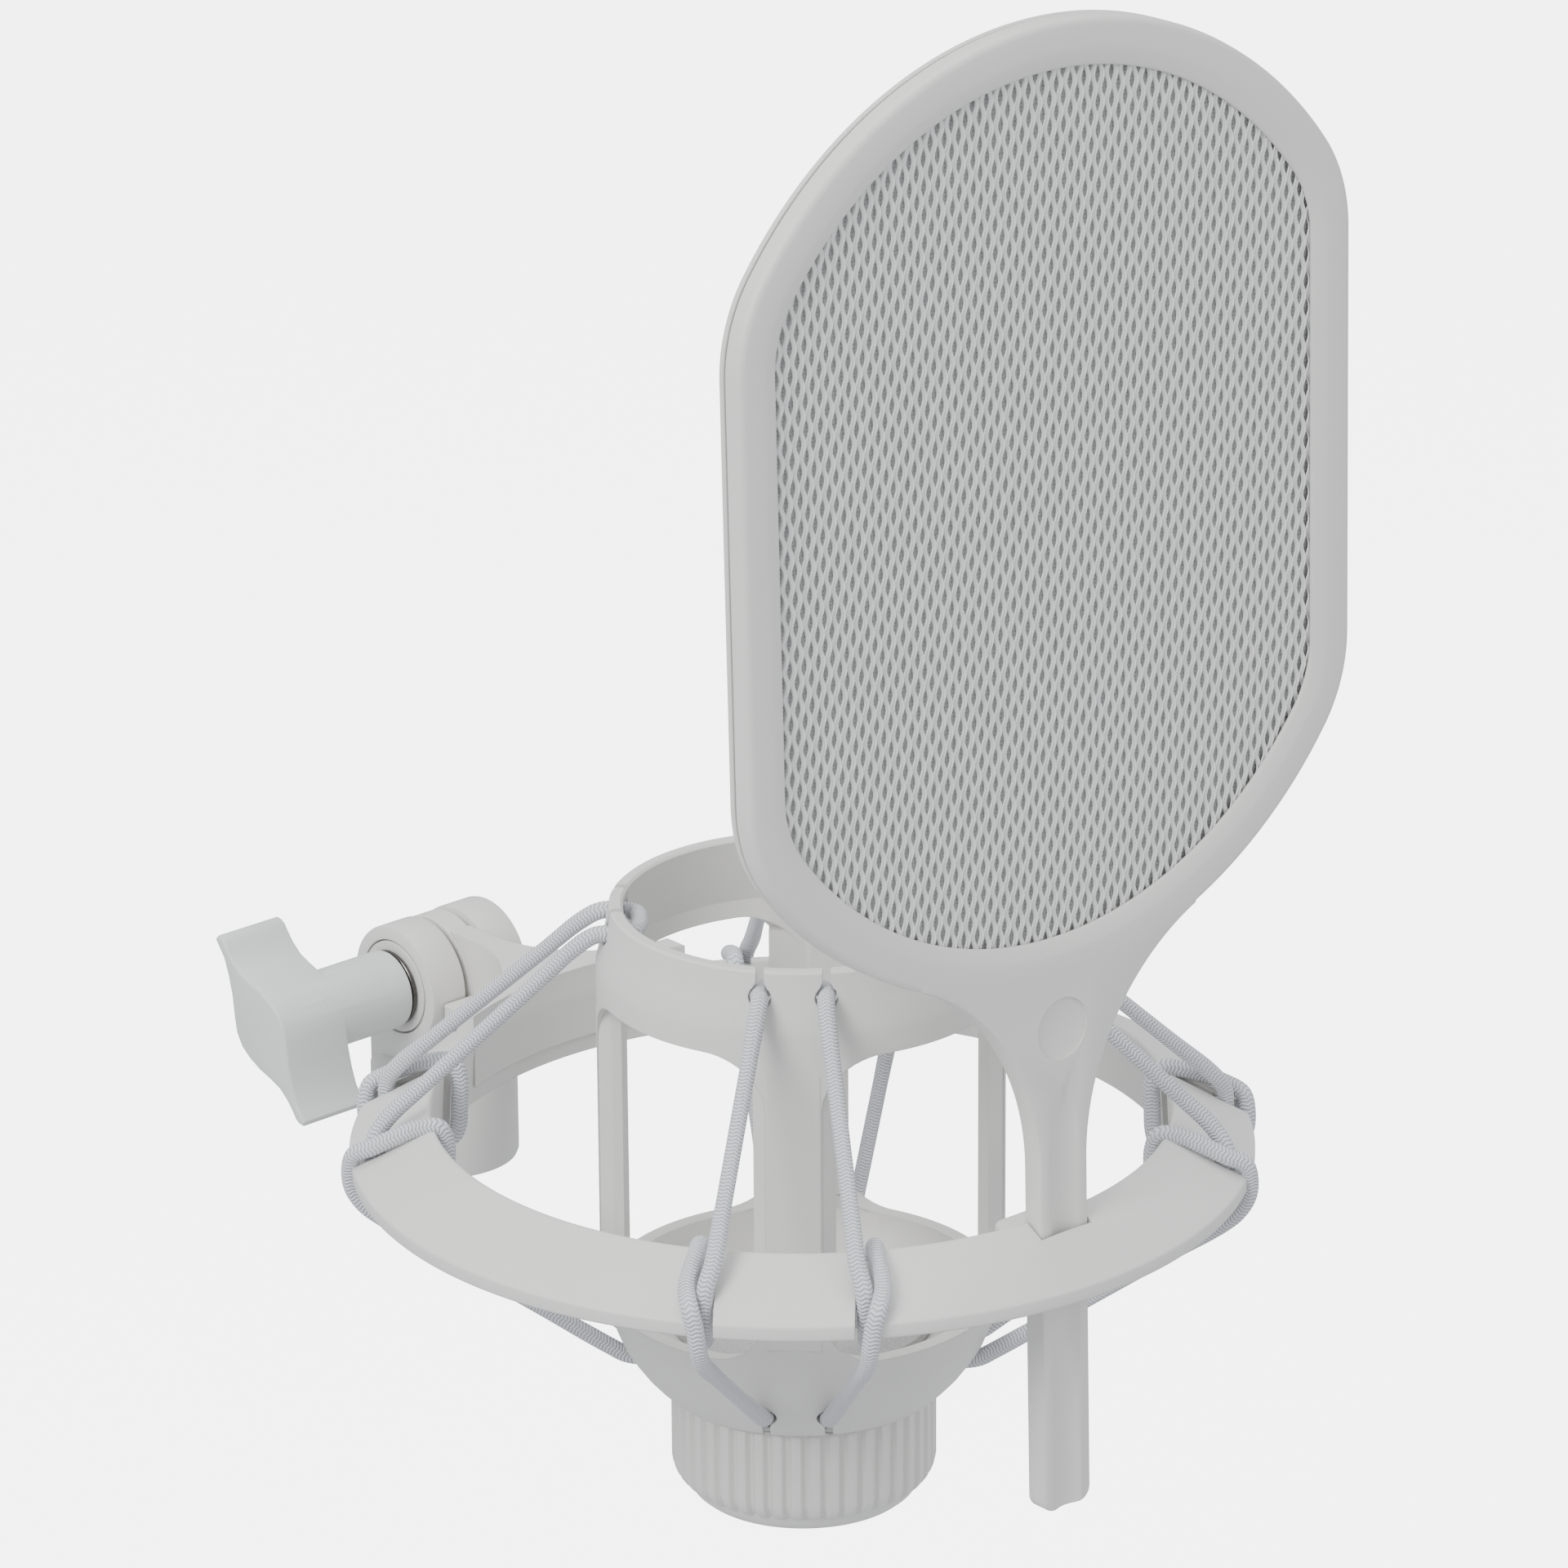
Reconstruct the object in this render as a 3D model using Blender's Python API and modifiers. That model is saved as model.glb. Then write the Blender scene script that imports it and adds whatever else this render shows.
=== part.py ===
"""Microphone shock mount with a clip-in pop filter.

A knobbed swivel stands on a threaded stand socket and carries an outer ring.
Four elastic cords hang a slotted microphone cradle inside the ring, a knurled
nut under the cradle locks the microphone, and the pop filter's stem slides in
a slot at the front of the ring.

Lengths are written in millimetres and scaled by MM. The shapes are drawn about
the microphone's axis, with z = 0 at the ring's outer rim; an empty then moves
the whole object so that its origin is the centre of the stand socket's mouth.
The pop filter is at -Y, the swivel at +Y and the knob points to -X.
"""

import math

import bmesh
import bpy
from mathutils import Matrix, Vector

MM = 0.001
GAP = 0.3                       # clearance between neighbouring solids
FINE_STEPS = 72                 # facets round the ring
CRADLE_STEPS = 56               # facets round the cradle and its nut
SMALL_STEPS = 24                # facets round the small ones

# Outer ring: a sloping top skin with a wall on its inner edge, open below.
RING_OUTER_R = 70.0
RING_INNER_R = 57.2
RING_RISE = 6.0                 # inner edge above the outer rim
RING_RIM_T = 2.8                # thickness of the outer rim
RING_WALL_T = 2.4
RING_WALL_BOTTOM = -5.4

# Cord stations, a quarter turn apart on the ring and on the cradle.
STATION_ANGLES = {
    "front_right": -44.0,
    "rear_right": 46.0,
    "rear_left": 136.0,
    "front_left": -134.0,
}
TONGUE_HALF_W = 10.4            # the ring's tongue between its two cord notches
NOTCH_W = 3.9
NOTCH_FLOOR_X = 63.6            # how far out the notches reach in, along the station's middle
GROOVE_WALL_X = 56.9            # floor of the cord grooves down the ring's inner wall
GROOVE_DEPTH = 1.2              # the same grooves across the ring's top
CORD_R = 1.35
TOP_HOLE_T = 5.0                # cord holes of the cradle, from the station's middle
TOP_HOLE_Z = 35.0
BASE_HOLE_T = 4.8
BASE_HOLE_Z = -36.0
HOLE_R = CORD_R + 0.4
SLIT_W = 1.4

# Cradle: a top band, four posts and a bowl, turned as one shell with windows.
CRADLE_R = 31.5
CRADLE_TOP = 39.0
CRADLE_TOP_R = 29.5
BAND_BOTTOM = 25.6
POST_INNER_R = 27.3
BOWL_RIM = -25.2
WINDOW_HALF_W = 17.1
WINDOW_CORNER_R = 8.5
SEAT_Z = -31.5                  # bowl floor, where the microphone's base rests
FLOOR_T = 2.5
SKIRT_BOTTOM = -41.0
COLLAR_R = 14.6
COLLAR_BORE_R = 12.8
COLLAR_BOTTOM = -48.0

# Knurled microphone nut, held on the collar by a snap ring.
NUT_R = 20.8
NUT_TOP = -41.5
NUT_BOTTOM = -59.8
NUT_BORE_R = 11.8
SNAP_Z = -45.6                  # middle of the snap ring
SNAP_T = 0.8

# Swivel: three knuckles on an axis along X.
HINGE_Y = 88.0
HINGE_Z = 0.6
KNUCKLE_R = 10.1
KNUCKLE_HALF_W = 2.1            # centre knuckle, on the ring's arm
EAR_INNER_X = 3.1
EAR_OUTER_X = 9.9
SOCKET_R = 12.0
SOCKET_TOP = HINGE_Z - 12.0
SOCKET_BOTTOM = HINGE_Z - 32.0
SOCKET_BORE_R = 9.5
SOCKET_BORE_DEPTH = 16.0
INSERT_R = SOCKET_BORE_R - GAP
INSERT_BORE_R = 7.5             # minor radius of a 5/8 inch stand thread
INSERT_L = 14.0
SCREW_R = 3.0
SCREW_HOLE_R = SCREW_R + GAP
NUT_SEAT_X = 5.0
NUT_ACROSS_FLATS = 10.0
CAP_SEAT_X = 8.0
CAP_R = 7.4
BUSH_R = 7.6
KNOB_STEM_R = 6.5
KNOB_FACE_X = -11.2             # knob's end face, against its washer
KNOB_GRIP_X = -25.0             # inner side of the grip
KNOB_END_X = -37.6
ALONG_X = (0.0, math.pi / 2, 0.0)   # turns a piece drawn about Z onto the swivel's axis

# Arm from the centre knuckle to the ring.
ARM_TOP = 9.5
ARM_BOTTOM = -2.6
ARM_FOOT_HALF_W = 22.0
TAB_HALF_W = 8.4
TAB_END_Y = 77.6

# Pop filter: frame outline with straight sides and arched ends, on a flat stem.
FILTER_R = 60.75                # front plane from the microphone's axis at z = 0
FILTER_LEAN = math.radians(1.4) # the top leans towards the microphone
FILTER_TURN = math.radians(-1.5)    # the stem's slot stands a little left of the ring's front
FRAME_MID = 116.3
FRAME_HALF_W = 58.6
FRAME_SIDE_HALF = 31.3
FRAME_CORNER_R = 23.9
FRAME_ARCH_R = 67.2
FRAME_BORDER = 7.2
FRAME_BAND = 4.4                # flat part of the border, outside its inner chamfer
FRAME_POCKET_INSET = 2.6
FRONT_T = 3.3
FRONT_LIP_T = 1.3
REAR_T = 1.2
PANEL_INSET = FRAME_POCKET_INSET + 0.4
MESH_T = 0.5
SCREEN_T = 0.3
STEM_HALF_W = 4.65
STEM_T = 3.9
STEM_BOTTOM = -41.0
NECK_FILLET_R = 38.0
FLUTE_R = 3.2
FLUTE_TOP = 27.0
FLUTE_DEPTH = 1.2
SLOT_CLEARANCE = 0.35
BOSS_HALF_W = 8.0
BOSS_INNER_R = 52.4

WHITE = (0.72, 0.715, 0.69)
COOL_WHITE = (0.70, 0.72, 0.70)


def clear_scene():
    for obj in list(bpy.data.objects):
        bpy.data.objects.remove(obj, do_unlink=True)


def new_collection(name):
    collection = bpy.data.collections.new(name)
    bpy.context.scene.collection.children.link(collection)
    return collection


clear_scene()
PARTS = new_collection("pop_filter_shock_mount")
CUTTERS = new_collection("cutters")


# ---------------------------------------------------------------- helpers

def new_empty(name, location=(0, 0, 0), rotation=(0, 0, 0), parent=None):
    """An empty that carries the pieces of one sub-assembly; location in mm."""
    empty = bpy.data.objects.new(name, None)
    empty.location = Vector(location) * MM
    empty.rotation_euler = rotation
    empty.parent = parent
    PARTS.objects.link(empty)
    return empty


def mesh_from_points(name, points, edges=(), faces=()):
    mesh = bpy.data.meshes.new(name)
    mesh.from_pydata([Vector(p) * MM for p in points], edges, faces)
    return mesh


def place(obj, parent=None, location=(0, 0, 0), rotation=(0, 0, 0)):
    obj.location = Vector(location) * MM
    obj.rotation_euler = rotation
    obj.parent = parent
    return obj


def as_part(obj, parent, color, roughness, metallic=0.0):
    """Links a finished piece under its sub-assembly and gives it a material."""
    PARTS.objects.link(obj)
    obj.parent = parent
    material = bpy.data.materials.new(obj.name)
    material.use_nodes = True
    shader = material.node_tree.nodes["Principled BSDF"]
    shader.inputs["Base Color"].default_value = (*color, 1.0)
    shader.inputs["Roughness"].default_value = roughness
    shader.inputs["Metallic"].default_value = metallic
    obj.data.materials.append(material)
    return obj


def as_cutter(obj, parent):
    """Links a shape that only cuts or joins other pieces."""
    CUTTERS.objects.link(obj)
    obj.parent = parent
    obj.hide_render = True
    obj.display_type = "WIRE"
    return obj


def turned(name, section, steps=SMALL_STEPS, closed=True):
    """A section of (radius, z) points, spun about Z; it runs down its outer side."""
    points = [(r, 0.0, z) for r, z in section]
    edges = [(i, i + 1) for i in range(len(points) - 1)]
    if closed:
        edges.append((len(points) - 1, 0))
    obj = bpy.data.objects.new(name, mesh_from_points(name, points, edges))
    screw = obj.modifiers.new("turn", "SCREW")
    screw.axis = "Z"
    screw.steps = steps
    screw.render_steps = steps
    screw.use_merge_vertices = True
    screw.merge_threshold = 0.00001
    return obj


def tube(name, outer_r, inner_r, low, high, steps=SMALL_STEPS):
    section = [(outer_r, high), (outer_r, low), (inner_r, low), (inner_r, high)]
    return turned(name, section, steps)


def rod(name, radius, low, high, steps=SMALL_STEPS):
    section = [(0.0, high), (radius, high), (radius, low), (0.0, low)]
    return turned(name, section, steps, closed=False)


def block(name, low, high):
    """A box between two corners, from a primitive cube."""
    mesh = bpy.data.meshes.new(name)
    bm = bmesh.new()
    bmesh.ops.create_cube(bm, size=1.0)
    size = [(b - a) * MM for a, b in zip(low, high)]
    middle = [(a + b) / 2 * MM for a, b in zip(low, high)]
    bmesh.ops.scale(bm, vec=size, verts=bm.verts)
    bmesh.ops.translate(bm, vec=middle, verts=bm.verts)
    bm.to_mesh(mesh)
    bm.free()
    return bpy.data.objects.new(name, mesh)


def plate(name, outlines, low, high):
    """Flat outlines in XY, the first with the others as holes, from z low to high."""
    curve = bpy.data.curves.new(name, "CURVE")
    curve.dimensions = "2D"
    curve.fill_mode = "BOTH"
    curve.extrude = (high - low) / 2 * MM
    for outline in outlines:
        spline = curve.splines.new("POLY")
        spline.points.add(len(outline) - 1)
        for point, (x, y) in zip(spline.points, outline):
            point.co = (x * MM, y * MM, 0.0, 1.0)
        spline.use_cyclic_u = True
    source = bpy.data.objects.new(name + "_curve", curve)
    CUTTERS.objects.link(source)
    mesh = bpy.data.meshes.new_from_object(source.evaluated_get(bpy.context.evaluated_depsgraph_get()))
    bpy.data.objects.remove(source)
    bm = bmesh.new()
    bm.from_mesh(mesh)
    bmesh.ops.remove_doubles(bm, verts=bm.verts, dist=0.00001)
    bmesh.ops.translate(bm, vec=(0, 0, (low + high) / 2 * MM), verts=bm.verts)
    bmesh.ops.recalc_face_normals(bm, faces=bm.faces)
    bm.to_mesh(mesh)
    bm.free()
    return bpy.data.objects.new(name, mesh)


def boolean(obj, operation, tools):
    for tool in tools:
        modifier = obj.modifiers.new(f"{operation.lower()}_{tool.name}", "BOOLEAN")
        modifier.operation = operation
        modifier.object = tool
        modifier.solver = "EXACT"
    return obj


def arc(centre, radius, start, end, count):
    """Points of an arc, in degrees from +x, both ends included."""
    angles = [math.radians(start + (end - start) * i / count) for i in range(count + 1)]
    return [(centre[0] + radius * math.cos(a), centre[1] + radius * math.sin(a)) for a in angles]


# ---------------------------------------------------------------- assemblies

OBJECT = new_empty("pop_filter_mount", (0, -HINGE_Y, -SOCKET_BOTTOM))
SWIVEL = new_empty("swivel_axis", (0, HINGE_Y, HINGE_Z), parent=OBJECT)
KNOB_AXIS = new_empty("knob_axis", parent=SWIVEL)
RING_AXIS = new_empty("ring_axis", parent=OBJECT)
CRADLE_AXIS = new_empty("cradle_axis", parent=OBJECT)
NUT_AXIS = new_empty("nut_axis", parent=CRADLE_AXIS)
FRONT_AXIS = new_empty("front_axis", (0, 0, 0), (0, 0, FILTER_TURN), OBJECT)
FILTER_AXIS = new_empty("filter_axis", (0, -FILTER_R, 0), (math.pi / 2 - FILTER_LEAN, 0, 0), FRONT_AXIS)


def station_frame(angle):
    """Matrix of a cord station: +x runs outwards and +y along the rim."""
    return Matrix.Rotation(math.radians(angle), 4, "Z")


# ---------------------------------------------------------------- outer ring

def filter_stem_cutter(parent):
    """Slot for the filter's stem, along the leaning stem and a little wider."""
    side = STEM_HALF_W + SLOT_CLEARANCE
    cutter = block("stem_slot", (-side, -30.0, -STEM_T - SLOT_CLEARANCE), (side, 30.0, SLOT_CLEARANCE))
    return as_cutter(cutter, parent)


def cord_groove(name, angle, low_t, high_t):
    """Cutter for a cord's groove: down the slope of the ring's top and its inner wall."""
    slope = RING_RISE / (RING_OUTER_R - RING_INNER_R - 1.2)
    outer = RING_OUTER_R + 3.0
    inner_z = RING_RISE - GROOVE_DEPTH
    outer_z = inner_z - slope * (outer - GROOVE_WALL_X)
    side = [(50.0, 20.0), (50.0, -12.0), (GROOVE_WALL_X, -12.0), (GROOVE_WALL_X, inner_z)]
    side += [(outer, outer_z), (outer, 20.0)]
    cutter = plate(name, [side], -high_t, -low_t)
    upright = Matrix.Rotation(math.radians(angle), 4, "Z") @ Matrix.Rotation(math.pi / 2, 4, "X")
    as_cutter(cutter, RING_AXIS)
    cutter.rotation_euler = upright.to_euler()
    return cutter


def arm_outline():
    """Plan of the arm: a narrow neck at the knuckle that fans out to the ring."""
    half_w = KNUCKLE_HALF_W - 0.1
    start_y = HINGE_Y - KNUCKLE_R - 0.5
    sweep = ARM_FOOT_HALF_W - half_w
    side = [(half_w, HINGE_Y - 5.0)] + arc((half_w + sweep, start_y), sweep, 180.0, 270.0, 6)
    right = side + [(ARM_FOOT_HALF_W, 50.0)]
    return [(-x, y) for x, y in reversed(right)] + right


def build_outer_ring():
    section = [
        (RING_OUTER_R - 0.4, 0.0),
        (RING_OUTER_R, -0.4),
        (RING_OUTER_R, -RING_RIM_T + 0.3),
        (RING_OUTER_R - 0.3, -RING_RIM_T),
        (RING_OUTER_R - 2.2, -RING_RIM_T),
        (RING_INNER_R + RING_WALL_T + 0.6, 1.6),
        (RING_INNER_R + RING_WALL_T + 0.6, RING_WALL_BOTTOM),
        (RING_INNER_R + 0.6, RING_WALL_BOTTOM),
        (RING_INNER_R, RING_RISE - 0.8),
        (RING_INNER_R + 0.8, RING_RISE),
    ]
    ring = turned("outer_ring", section, FINE_STEPS)
    arm = as_cutter(plate("arm_body", [arm_outline()], ARM_BOTTOM, ARM_TOP), RING_AXIS)
    bore = as_cutter(rod("arm_bore", RING_INNER_R + 0.3, -30.0, 30.0, FINE_STEPS), RING_AXIS)
    boolean(arm, "DIFFERENCE", [bore])
    knuckle = tube("arm_knuckle", KNUCKLE_R - 0.2, SCREW_HOLE_R, -KNUCKLE_HALF_W, KNUCKLE_HALF_W)
    as_cutter(knuckle, RING_AXIS)
    place(knuckle, RING_AXIS, (0, HINGE_Y, HINGE_Z), ALONG_X)
    tab = block("arm_tab", (-TAB_HALF_W, 60.0, -RING_RIM_T + 0.1), (TAB_HALF_W, TAB_END_Y, 0.1))
    as_cutter(tab, RING_AXIS)
    boss_low = (-BOSS_HALF_W, -RING_INNER_R - 6.5, RING_WALL_BOTTOM + 0.4)
    boss_high = (BOSS_HALF_W, -BOSS_INNER_R, RING_RISE - 0.9)
    boss = as_cutter(block("slot_boss", boss_low, boss_high), FRONT_AXIS)
    notches = []
    for name, angle in STATION_ANGLES.items():
        for side in (-1, 1):
            near = side * TONGUE_HALF_W
            far = side * (TONGUE_HALF_W + NOTCH_W)
            low = (NOTCH_FLOOR_X, min(near, far), -12.0)
            high = (RING_OUTER_R + 6.0, max(near, far), 12.0)
            notch = as_cutter(block(f"notch_{name}_{side}", low, high), RING_AXIS)
            notches.append(place(notch, RING_AXIS, (0, 0, 0), (0, 0, math.radians(angle))))
            groove = cord_groove(f"groove_{name}_{side}", angle, min(near, far) + 0.05, max(near, far) - 0.05)
            notches.append(groove)
    boolean(ring, "UNION", [boss])
    boolean(ring, "DIFFERENCE", [filter_stem_cutter(FILTER_AXIS), *notches])
    boolean(ring, "UNION", [arm, tab, knuckle])
    return as_part(ring, RING_AXIS, WHITE, 0.42)


# ---------------------------------------------------------------- cradle

def rounded_rectangle(half_w, low, high, radius):
    outline = arc((half_w - radius, low + radius), radius, -90.0, 0.0, 5)
    outline += arc((half_w - radius, high - radius), radius, 0.0, 90.0, 5)
    outline += arc((radius - half_w, high - radius), radius, 90.0, 180.0, 5)
    outline += arc((radius - half_w, low + radius), radius, 180.0, 270.0, 5)
    return outline


def cord_hole(name, angle, tangent, z, edge_z):
    """Two cutters: a radial cord hole and its slit to the nearest edge."""
    outline = arc((tangent, z), HOLE_R, 0.0, 324.0, 9)
    hole = plate(name, [outline], 20.0, 40.0)
    left, right = tangent - SLIT_W / 2, tangent + SLIT_W / 2
    slit = plate(name + "_slit", [[(left, z), (right, z), (right, edge_z), (left, edge_z)]], 22.2, 40.0)
    upright = Matrix.Rotation(math.radians(angle + 90.0), 4, "Z") @ Matrix.Rotation(math.pi / 2, 4, "X")
    for cutter in (hole, slit):
        as_cutter(cutter, CRADLE_AXIS)
        cutter.rotation_euler = upright.to_euler()
    return [hole, slit]


def build_cradle():
    section = [
        (CRADLE_TOP_R, CRADLE_TOP),
        (CRADLE_TOP_R + 0.6, CRADLE_TOP - 4.7),
        (CRADLE_R, BAND_BOTTOM + 4.0),
        (CRADLE_R, -19.0),
        (CRADLE_R - 0.5, -25.0),
        (CRADLE_R - 1.9, -30.5),
        (CRADLE_R - 4.5, -35.5),
        (CRADLE_R - 6.5, -38.2),
        (CRADLE_R - 8.2, -40.2),
        (CRADLE_R - 8.7, SKIRT_BOTTOM),
        (20.4, SKIRT_BOTTOM),
        (23.6, -37.0),
        (23.9, SEAT_Z - FLOOR_T),
        (COLLAR_R, SEAT_Z - FLOOR_T),
        (COLLAR_R, SNAP_Z + SNAP_T / 2 + GAP),
        (COLLAR_R - 1.0, SNAP_Z + SNAP_T / 2 + GAP),
        (COLLAR_R - 1.0, SNAP_Z - SNAP_T / 2 - GAP),
        (COLLAR_R, SNAP_Z - SNAP_T / 2 - GAP),
        (COLLAR_R, COLLAR_BOTTOM),
        (COLLAR_BORE_R, COLLAR_BOTTOM),
        (COLLAR_BORE_R, SEAT_Z),
        (24.4, SEAT_Z),
        (27.6, -27.6),
        (28.9, -24.6),
        (POST_INNER_R, -19.0),
        (POST_INNER_R, BAND_BOTTOM - 1.0),
        (CRADLE_R - 2.4, BAND_BOTTOM + 2.4),
        (CRADLE_TOP_R - 2.3, CRADLE_TOP),
    ]
    cradle = turned("cradle", section, CRADLE_STEPS)
    outline = rounded_rectangle(WINDOW_HALF_W, BOWL_RIM, BAND_BOTTOM, WINDOW_CORNER_R)
    cutters = []
    for name, turn in (("front_rear", 0.0), ("left_right", 90.0)):
        window = as_cutter(plate(f"window_{name}", [outline], -45.0, 45.0), CRADLE_AXIS)
        upright = Matrix.Rotation(math.radians(turn), 4, "Z") @ Matrix.Rotation(math.pi / 2, 4, "X")
        window.rotation_euler = upright.to_euler()
        cutters.append(window)
    for name, angle in STATION_ANGLES.items():
        for side in (-1, 1):
            top_t, base_t = side * TOP_HOLE_T, side * BASE_HOLE_T
            cutters += cord_hole(f"top_hole_{name}_{side}", angle, top_t, TOP_HOLE_Z, CRADLE_TOP + 2.0)
            cutters += cord_hole(f"base_hole_{name}_{side}", angle, base_t, BASE_HOLE_Z, SKIRT_BOTTOM - 0.2)
    boolean(cradle, "DIFFERENCE", cutters)
    return as_part(cradle, CRADLE_AXIS, WHITE, 0.42)


def build_base_pad():
    pad = tube("base_pad", 20.6, COLLAR_BORE_R + 0.4, SEAT_Z + GAP, SEAT_Z + GAP + 1.2, 48)
    return as_part(pad, CRADLE_AXIS, (0.55, 0.55, 0.54), 0.9)


def build_mic_nut():
    groove_r = COLLAR_R + 2.0
    bore_r = COLLAR_R + 0.5
    section = [
        (NUT_R, NUT_TOP),
        (NUT_R, -54.6),
        (NUT_R - 0.9, -55.4),
        (NUT_R - 1.6, -58.0),
        (NUT_R - 3.2, NUT_BOTTOM),
        (NUT_BORE_R, NUT_BOTTOM),
        (NUT_BORE_R, COLLAR_BOTTOM - 1.0),
        (bore_r, COLLAR_BOTTOM - 1.0),
        (bore_r, SNAP_Z - SNAP_T / 2 - GAP),
        (groove_r, SNAP_Z - SNAP_T / 2 - GAP),
        (groove_r, SNAP_Z + SNAP_T / 2 + GAP),
        (bore_r, SNAP_Z + SNAP_T / 2 + GAP),
        (bore_r, NUT_TOP),
    ]
    return as_part(turned("mic_nut", section, CRADLE_STEPS), NUT_AXIS, WHITE, 0.42)


def build_snap_ring():
    inner = COLLAR_R - 0.7
    ring = tube("nut_snap_ring", COLLAR_R + 1.6, inner, SNAP_Z - SNAP_T / 2, SNAP_Z + SNAP_T / 2, 40)
    mouth = as_cutter(block("snap_ring_mouth", (0.0, -2.0, -50.0), (30.0, 2.0, -40.0)), CRADLE_AXIS)
    boolean(ring, "DIFFERENCE", [mouth])
    return as_part(ring, CRADLE_AXIS, (0.35, 0.35, 0.36), 0.3, 1.0)


# ---------------------------------------------------------------- elastic cords

def cord_half():
    """One side of a cord: cradle top, wrap round the ring, cradle base.

    Each point is (distance from the microphone's axis, distance along the rim
    from the station's middle, height), with how many samples to take on the
    stretch that follows it. The wrap runs in the notch under the strand that
    leaves for the base.
    """
    return [
        ((25.5, 3.6, TOP_HOLE_Z), 1),
        ((27.7, TOP_HOLE_T, TOP_HOLE_Z), 1),
        ((31.4, TOP_HOLE_T, TOP_HOLE_Z), 2),
        ((35.0, 5.4, 32.7), 3),
        ((64.0, 10.6, 6.6), 1),
        ((66.2, 11.6, 3.6), 1),
        ((66.6, 11.95, 0.6), 1),
        ((66.3, 11.95, -2.6), 1),
        ((64.6, 11.95, -5.0), 1),
        ((61.8, 12.0, -6.8), 1),
        ((58.8, 12.1, -7.4), 2),
        ((56.2, 12.3, -5.8), 2),
        ((55.5, 12.4, 0.0), 1),
        ((55.5, 12.5, 4.4), 2),
        ((56.6, 12.9, 7.7), 1),
        ((60.0, 13.6, 6.9), 1),
        ((64.0, 14.4, 5.0), 1),
        ((67.2, 14.4, 3.4), 1),
        ((69.9, 13.6, 1.9), 1),
        ((70.0, 12.8, -1.0), 1),
        ((69.5, 12.6, -4.0), 1),
        ((67.6, 12.4, -7.4), 2),
        ((31.6, 6.6, -32.4), 1),
        ((28.4, 5.1, -35.4), 1),
        ((25.8, BASE_HOLE_T, BASE_HOLE_Z), 1),
        ((22.8, BASE_HOLE_T, BASE_HOLE_Z), 1),
        ((20.2, 3.1, BASE_HOLE_Z), 1),
    ]


def station_point(radius, tangent, z):
    return Vector((math.sqrt(radius ** 2 - tangent ** 2), tangent, z))


def smooth_loop(points, samples):
    """Closed Catmull-Rom curve, with a number of samples for each stretch."""
    count = len(points)
    result = []
    for i in range(count):
        p0, p1, p2, p3 = (points[(i + k) % count] for k in (-1, 0, 1, 2))
        knots = [0.0]
        for a, b in ((p0, p1), (p1, p2), (p2, p3)):
            knots.append(knots[-1] + (b - a).length ** 0.5)
        for s in range(samples[i]):
            t = knots[1] + (knots[2] - knots[1]) * s / samples[i]
            a1 = p0.lerp(p1, (t - knots[0]) / (knots[1] - knots[0]))
            a2 = p1.lerp(p2, (t - knots[1]) / (knots[2] - knots[1]))
            a3 = p2.lerp(p3, (t - knots[2]) / (knots[3] - knots[2]))
            b1 = a1.lerp(a2, (t - knots[0]) / (knots[2] - knots[0]))
            b2 = a2.lerp(a3, (t - knots[1]) / (knots[3] - knots[1]))
            result.append(b1.lerp(b2, (t - knots[1]) / (knots[2] - knots[1])))
    return result


def build_cord(name, angle):
    """One closed elastic loop, from the cradle's top round the ring to its base."""
    half = cord_half()
    points = [station_point(*where) for where, _ in half]
    points += [Vector((p.x, -p.y, p.z)) for p in reversed(points)]
    counts = [n for _, n in half]
    counts += [1, *reversed(counts[:-1])][:len(half)]
    points = smooth_loop(points, counts)
    curve = bpy.data.curves.new(name, "CURVE")
    curve.dimensions = "3D"
    curve.bevel_depth = CORD_R * MM
    curve.bevel_resolution = 2
    spline = curve.splines.new("POLY")
    spline.points.add(len(points) - 1)
    for target, point in zip(spline.points, points):
        target.co = (*(station_frame(angle) @ point * MM), 1.0)
    spline.use_cyclic_u = True
    cord = bpy.data.objects.new(name, curve)
    return as_part(cord, CRADLE_AXIS, (0.74, 0.75, 0.78), 0.55)


# ---------------------------------------------------------------- swivel

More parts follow.
